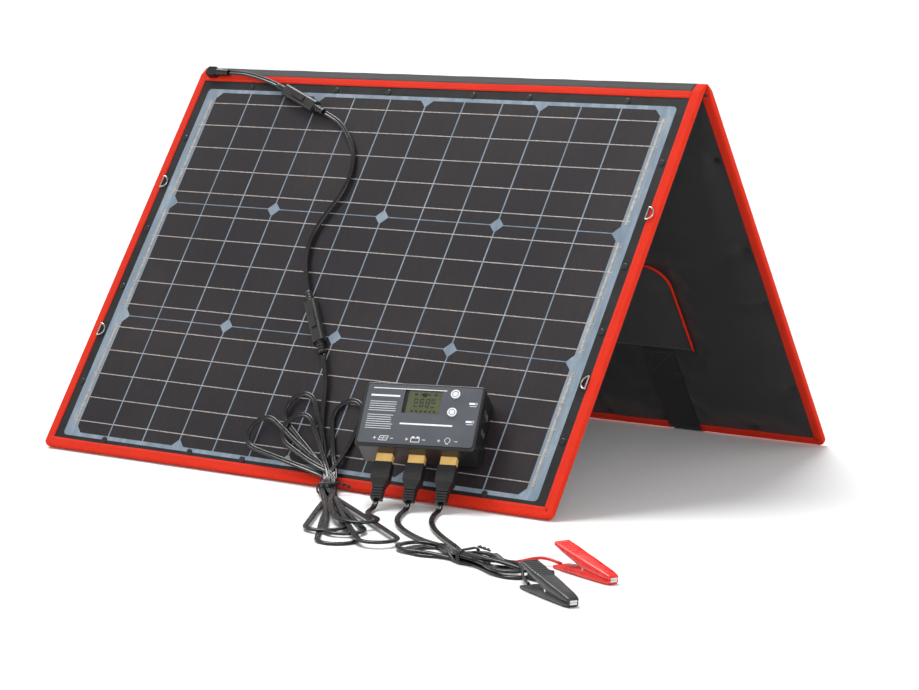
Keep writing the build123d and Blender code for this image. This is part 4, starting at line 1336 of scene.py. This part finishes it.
def plus_minus(x, y):
    """A plus to the left of a socket's picture and a minus to its right."""
    plus, minus, arm = x - 9.5, x + 9.5, 1.5
    parts = rule(plus - arm, plus + arm, y, 0.6) + stroke((plus, y - arm), (plus, y + arm))
    return parts + rule(minus - arm, minus + arm, y, 0.6)


def socket_pictures(y):
    """Generic pictures above the three sockets: a panel, a battery and a lamp."""
    panel, battery, lamp = SOCKET_X
    parts = stroke((panel - 5, y - 2.6), (panel + 4, y - 2.6), (panel + 5.5, y + 2.6),
                   (panel - 3.5, y + 2.6), closed=True)
    parts += rule(panel - 4.3, panel + 4.8, y, 0.45)
    parts += stroke((panel - 0.6, y - 2.6), (panel + 0.9, y + 2.6), width=0.45)
    parts += stroke((battery - 4.6, y - 3), (battery + 4.6, y - 3), (battery + 4.6, y + 1.8),
                    (battery - 4.6, y + 1.8), width=0.65, closed=True)
    for pole in (battery - 2.7, battery + 2.7):
        parts += rule(pole - 1, pole + 1, y + 2.9, 1.3)
    bulb = [math.radians(angle) for angle in range(-60, 241, 25)]
    parts += stroke(*[(lamp + 3 * math.cos(a), y + 1 + 3 * math.sin(a)) for a in bulb], width=0.55)
    parts += rule(lamp - 1.3, lamp + 1.3, y - 3, 0.9)
    for x in SOCKET_X:
        parts += plus_minus(x, y)
    return parts


def make_plate_marks():
    """Generic pictures above the sockets, plain rules where a maker prints words."""
    parts = socket_pictures(-29.0)
    for level in (17.5, -4.5):
        parts += rule(52, 57, level, 2.3)
        parts += stroke((57.6, level + 1), (60, level + 1), (60, level - 1), (57.6, level - 1), width=0.5)
        parts += rule(52.5, 59.5, level - 3.2, 0.6)
    shuffled = random.Random(4)
    for index in range(13):
        if index != 5:
            parts += rule(-58, -28.0 - shuffled.uniform(0, 4), 15.0 - index * 2.7, 0.55)
    for x0, x1, level, width in ((-57, 24, 31.5, 1.0), (-58, -27, 22.5, 2.2), (-20, 37, -10.5, 1.9)):
        parts += rule(x0, x1, level, width)
    piece("plate_marks", *merged(parts), "ink", "front_panel", "faceplate", smooth=False)


def make_display_marks():
    """Dark blocks on the display: four segment patterns that show no value, and plain bars."""
    parts = []
    matrix = CONTROLLER @ Matrix.Translation((0, 0, DISPLAY_FACE))

    def bar(x, y, width, height):
        high = ((x + width) * MM, (y + height) * MM, 0.05 * MM)
        parts.append(solid_box(matrix, (x * MM, y * MM, 0), high))

    bar(-21.3, 2.9, 3.7, 28.3)
    for column in range(4):
        x = -10 + column * 6.4
        for level in (11.2, 15.7, 20.2):
            bar(x, level, 4.2, 1)
        for edge in (x, x + 3.4):
            if (column + int(edge)) % 3:
                bar(edge, 12.5, 0.8, 2.9)
            bar(edge, 17.0, 0.8, 2.9)
    for index in range(6):
        bar(-12 + index * 4.9, 5.0, 3, 1.8)
    for index in range(4):
        bar(-11 + index * 7.2, 25.4, 3.5, 1.8)
    bar(-1.6, 23.4, 4.8, 4.8)
    piece("display_marks", *merged(parts), "segments", "front_panel", "display", smooth=False)


def make_key_marks():
    """A thin moulded ring on each key."""
    for level, height in (("upper", 28.0), ("lower", 6.0)):
        centre = CONTROLLER @ Matrix.Translation((34.3 * MM, height * MM, 36.6 * MM))
        rings = []
        for way_x, way_y in circle(1, 32):
            rings.append([centre @ Vector((way_x * (3.2 * MM + a), way_y * (3.2 * MM + a), b))
                          for a, b in circle(0.28 * MM, 6)])
        rings.append(rings[0])
        tidy(piece(f"key_{level}_ring", *loft(rings, caps=False), "segments", f"key_{level}", "keys"))


# ================================================================ battery clips
CLIP_JAW = 38 * MM
CLIP_HANDLE = 48 * MM
CLIP_TIP = 5.0 * MM
CLIP_END = 13.5 * MM
CLIP_SLOPE = math.tan(math.radians(11.5))


def clip_section(x):
    """Half width, and inner and outer height of a clip half at x along it."""
    share = (CLIP_JAW - x) / (CLIP_JAW + CLIP_HANDLE)
    outer = CLIP_TIP + (CLIP_END - CLIP_TIP) * share
    inner = 0.3 * MM if x > 0 else 0.3 * MM - x * CLIP_SLOPE
    half = (6.8 + 2.2 * min(share * 2.2, 1)) * MM
    if x < -12 * MM:
        half += 0.5 * MM * math.sin((x + 12 * MM) / (36 * MM) * math.pi) ** 2
        outer -= 0.55 * MM * (0.5 + 0.5 * math.cos((x + 12 * MM) / (4.3 * MM) * math.tau))
    if x > 26 * MM:
        fade = (x - 26 * MM) / (12 * MM)
        outer -= 0.9 * MM * fade**2
        half -= 1.0 * MM * fade**2
    return half, inner, outer


def clip_half(matrix, upside):
    """A moulded clip half: smooth tapered nose, ribbed grip, rounded long edges."""
    rings = []
    for step in range(173):
        x = -CLIP_HANDLE + 86 * MM * step / 172
        half, inner, outer = clip_section(x)
        edge = min(3.2 * MM, (outer - inner) * 0.45)
        outline = [(half - edge + edge * math.cos(angle), outer - edge + edge * math.sin(angle))
                   for angle in even(0, math.pi / 2, 5)]
        outline += [(-y, z) for y, z in reversed(outline)]
        outline += [(-half + 0.2 * MM, inner), (half - 0.2 * MM, inner)]
        rings.append([matrix @ Vector((x, y, z * upside)) for y, z in outline])
    reach = matrix.col[0].to_3d() * 0.6 * MM
    return loft([shrunk(rings[0], -reach)] + rings + [shrunk(rings[-1], reach)])


def shrunk(ring, shift):
    """A ring drawn in towards its centre and moved, to round off an end."""
    centre = sum(ring, Vector()) / len(ring)
    return [centre + (point - centre) * 0.86 + shift for point in ring]


def clip_teeth(matrix, upside):
    """The tinned teeth inside a jaw and the metal nose at its tip."""
    def block(x0, x1, half_y, z0, z1):
        low, high = sorted((z0 * upside, z1 * upside))
        return solid_box(matrix, (x0 * MM, -half_y * MM, low * MM), (x1 * MM, half_y * MM, high * MM))

    teeth = [block(27.5 + index * 2.2, 28.7 + index * 2.2, 4.5, 0.05, 0.6) for index in range(5)]
    return merged(teeth + [block(37, 39.4, 3.6, 0.1, 2.2)])


def make_clips():
    """Both battery clips: moulded halves over the CAD ones, and tinned teeth at the tips."""
    for name in ("red", "black"):
        matrix = clip_matrix(name)
        for half, upside, body in (("upper", 1, f"{name}_clip_jaw"), ("lower", -1, "front_panel")):
            shell = tidy(piece(f"{name}_grip_{half}", *clip_half(matrix, upside), f"clip_{name}", body,
                               f"{name}_plastic"))
            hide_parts(f"{name}_clip_{half}")
            teeth = piece(f"{name}_teeth_{half}", *clip_teeth(matrix, upside), "zinc", body, "steel",
                          smooth=False)
            bevel = teeth.modifiers.new("Bevel", "BEVEL")
            bevel.width = 0.15 * MM
            bevel.segments = 2
            bevel.limit_method = "ANGLE"
            bevel.angle_limit = math.radians(35)


# ================================================================ carried-over CAD nodes
def paint_nodes():
    """Gives every CAD node that stays visible its material."""
    looks = {"junction_box": "connector", "lead_gland": "lead", "controller_faceplate": "plate",
             "controller_board": "board", "controller_display": "lcd", "usb_sockets": "zinc",
             "power_sockets": "yellow", "clip_pins": "zinc", "clip_springs": "zinc"}
    for side in ("front", "back"):
        looks.update({f"{side}_stiffener": "stiffener", f"{side}_laminate": "laminate",
                      f"{side}_cells": "cells", f"{side}_rivets": "rivet",
                      f"controller_{side}_shell": "case"})
        for place in ("left_upper", "left_lower", "right_upper", "right_lower"):
            looks[f"{side}_ring_{place}"] = "nickel"
    for name in ("solar_plug", "battery_plug", "load_plug", "load_socket"):
        looks[name] = "plug"
    for name in ("upper", "lower"):
        looks[f"controller_key_{name}"] = "key"
    for name in ("ridge", "lower"):
        looks[f"{name}_connector_plug"] = "connector"
        looks[f"{name}_connector_socket"] = "connector"
    for node, look in looks.items():
        slots = frame["nodes"][node].data.materials
        slots.clear()
        slots.append(MATERIAL[look])


# ================================================================ the scene
make_camera()
make_panel_lead()
make_middle_lead()
make_solar_lead()
make_splitter()
make_battery_leads()
make_load_lead()
make_clip_wires()
make_ties()
make_stage()
make_lights()
for panel_side in ("front", "back"):
    make_backing(panel_side)
    make_ribbons(panel_side)
    make_binding(panel_side)
    make_ridge_tape(panel_side)
    make_stitches(panel_side)
    make_lining(panel_side)
make_spine()
make_pocket()
make_piping()
make_handle()
make_strap_stitches()
make_plate_marks()
make_display_marks()
make_key_marks()
make_clips()
paint_nodes()
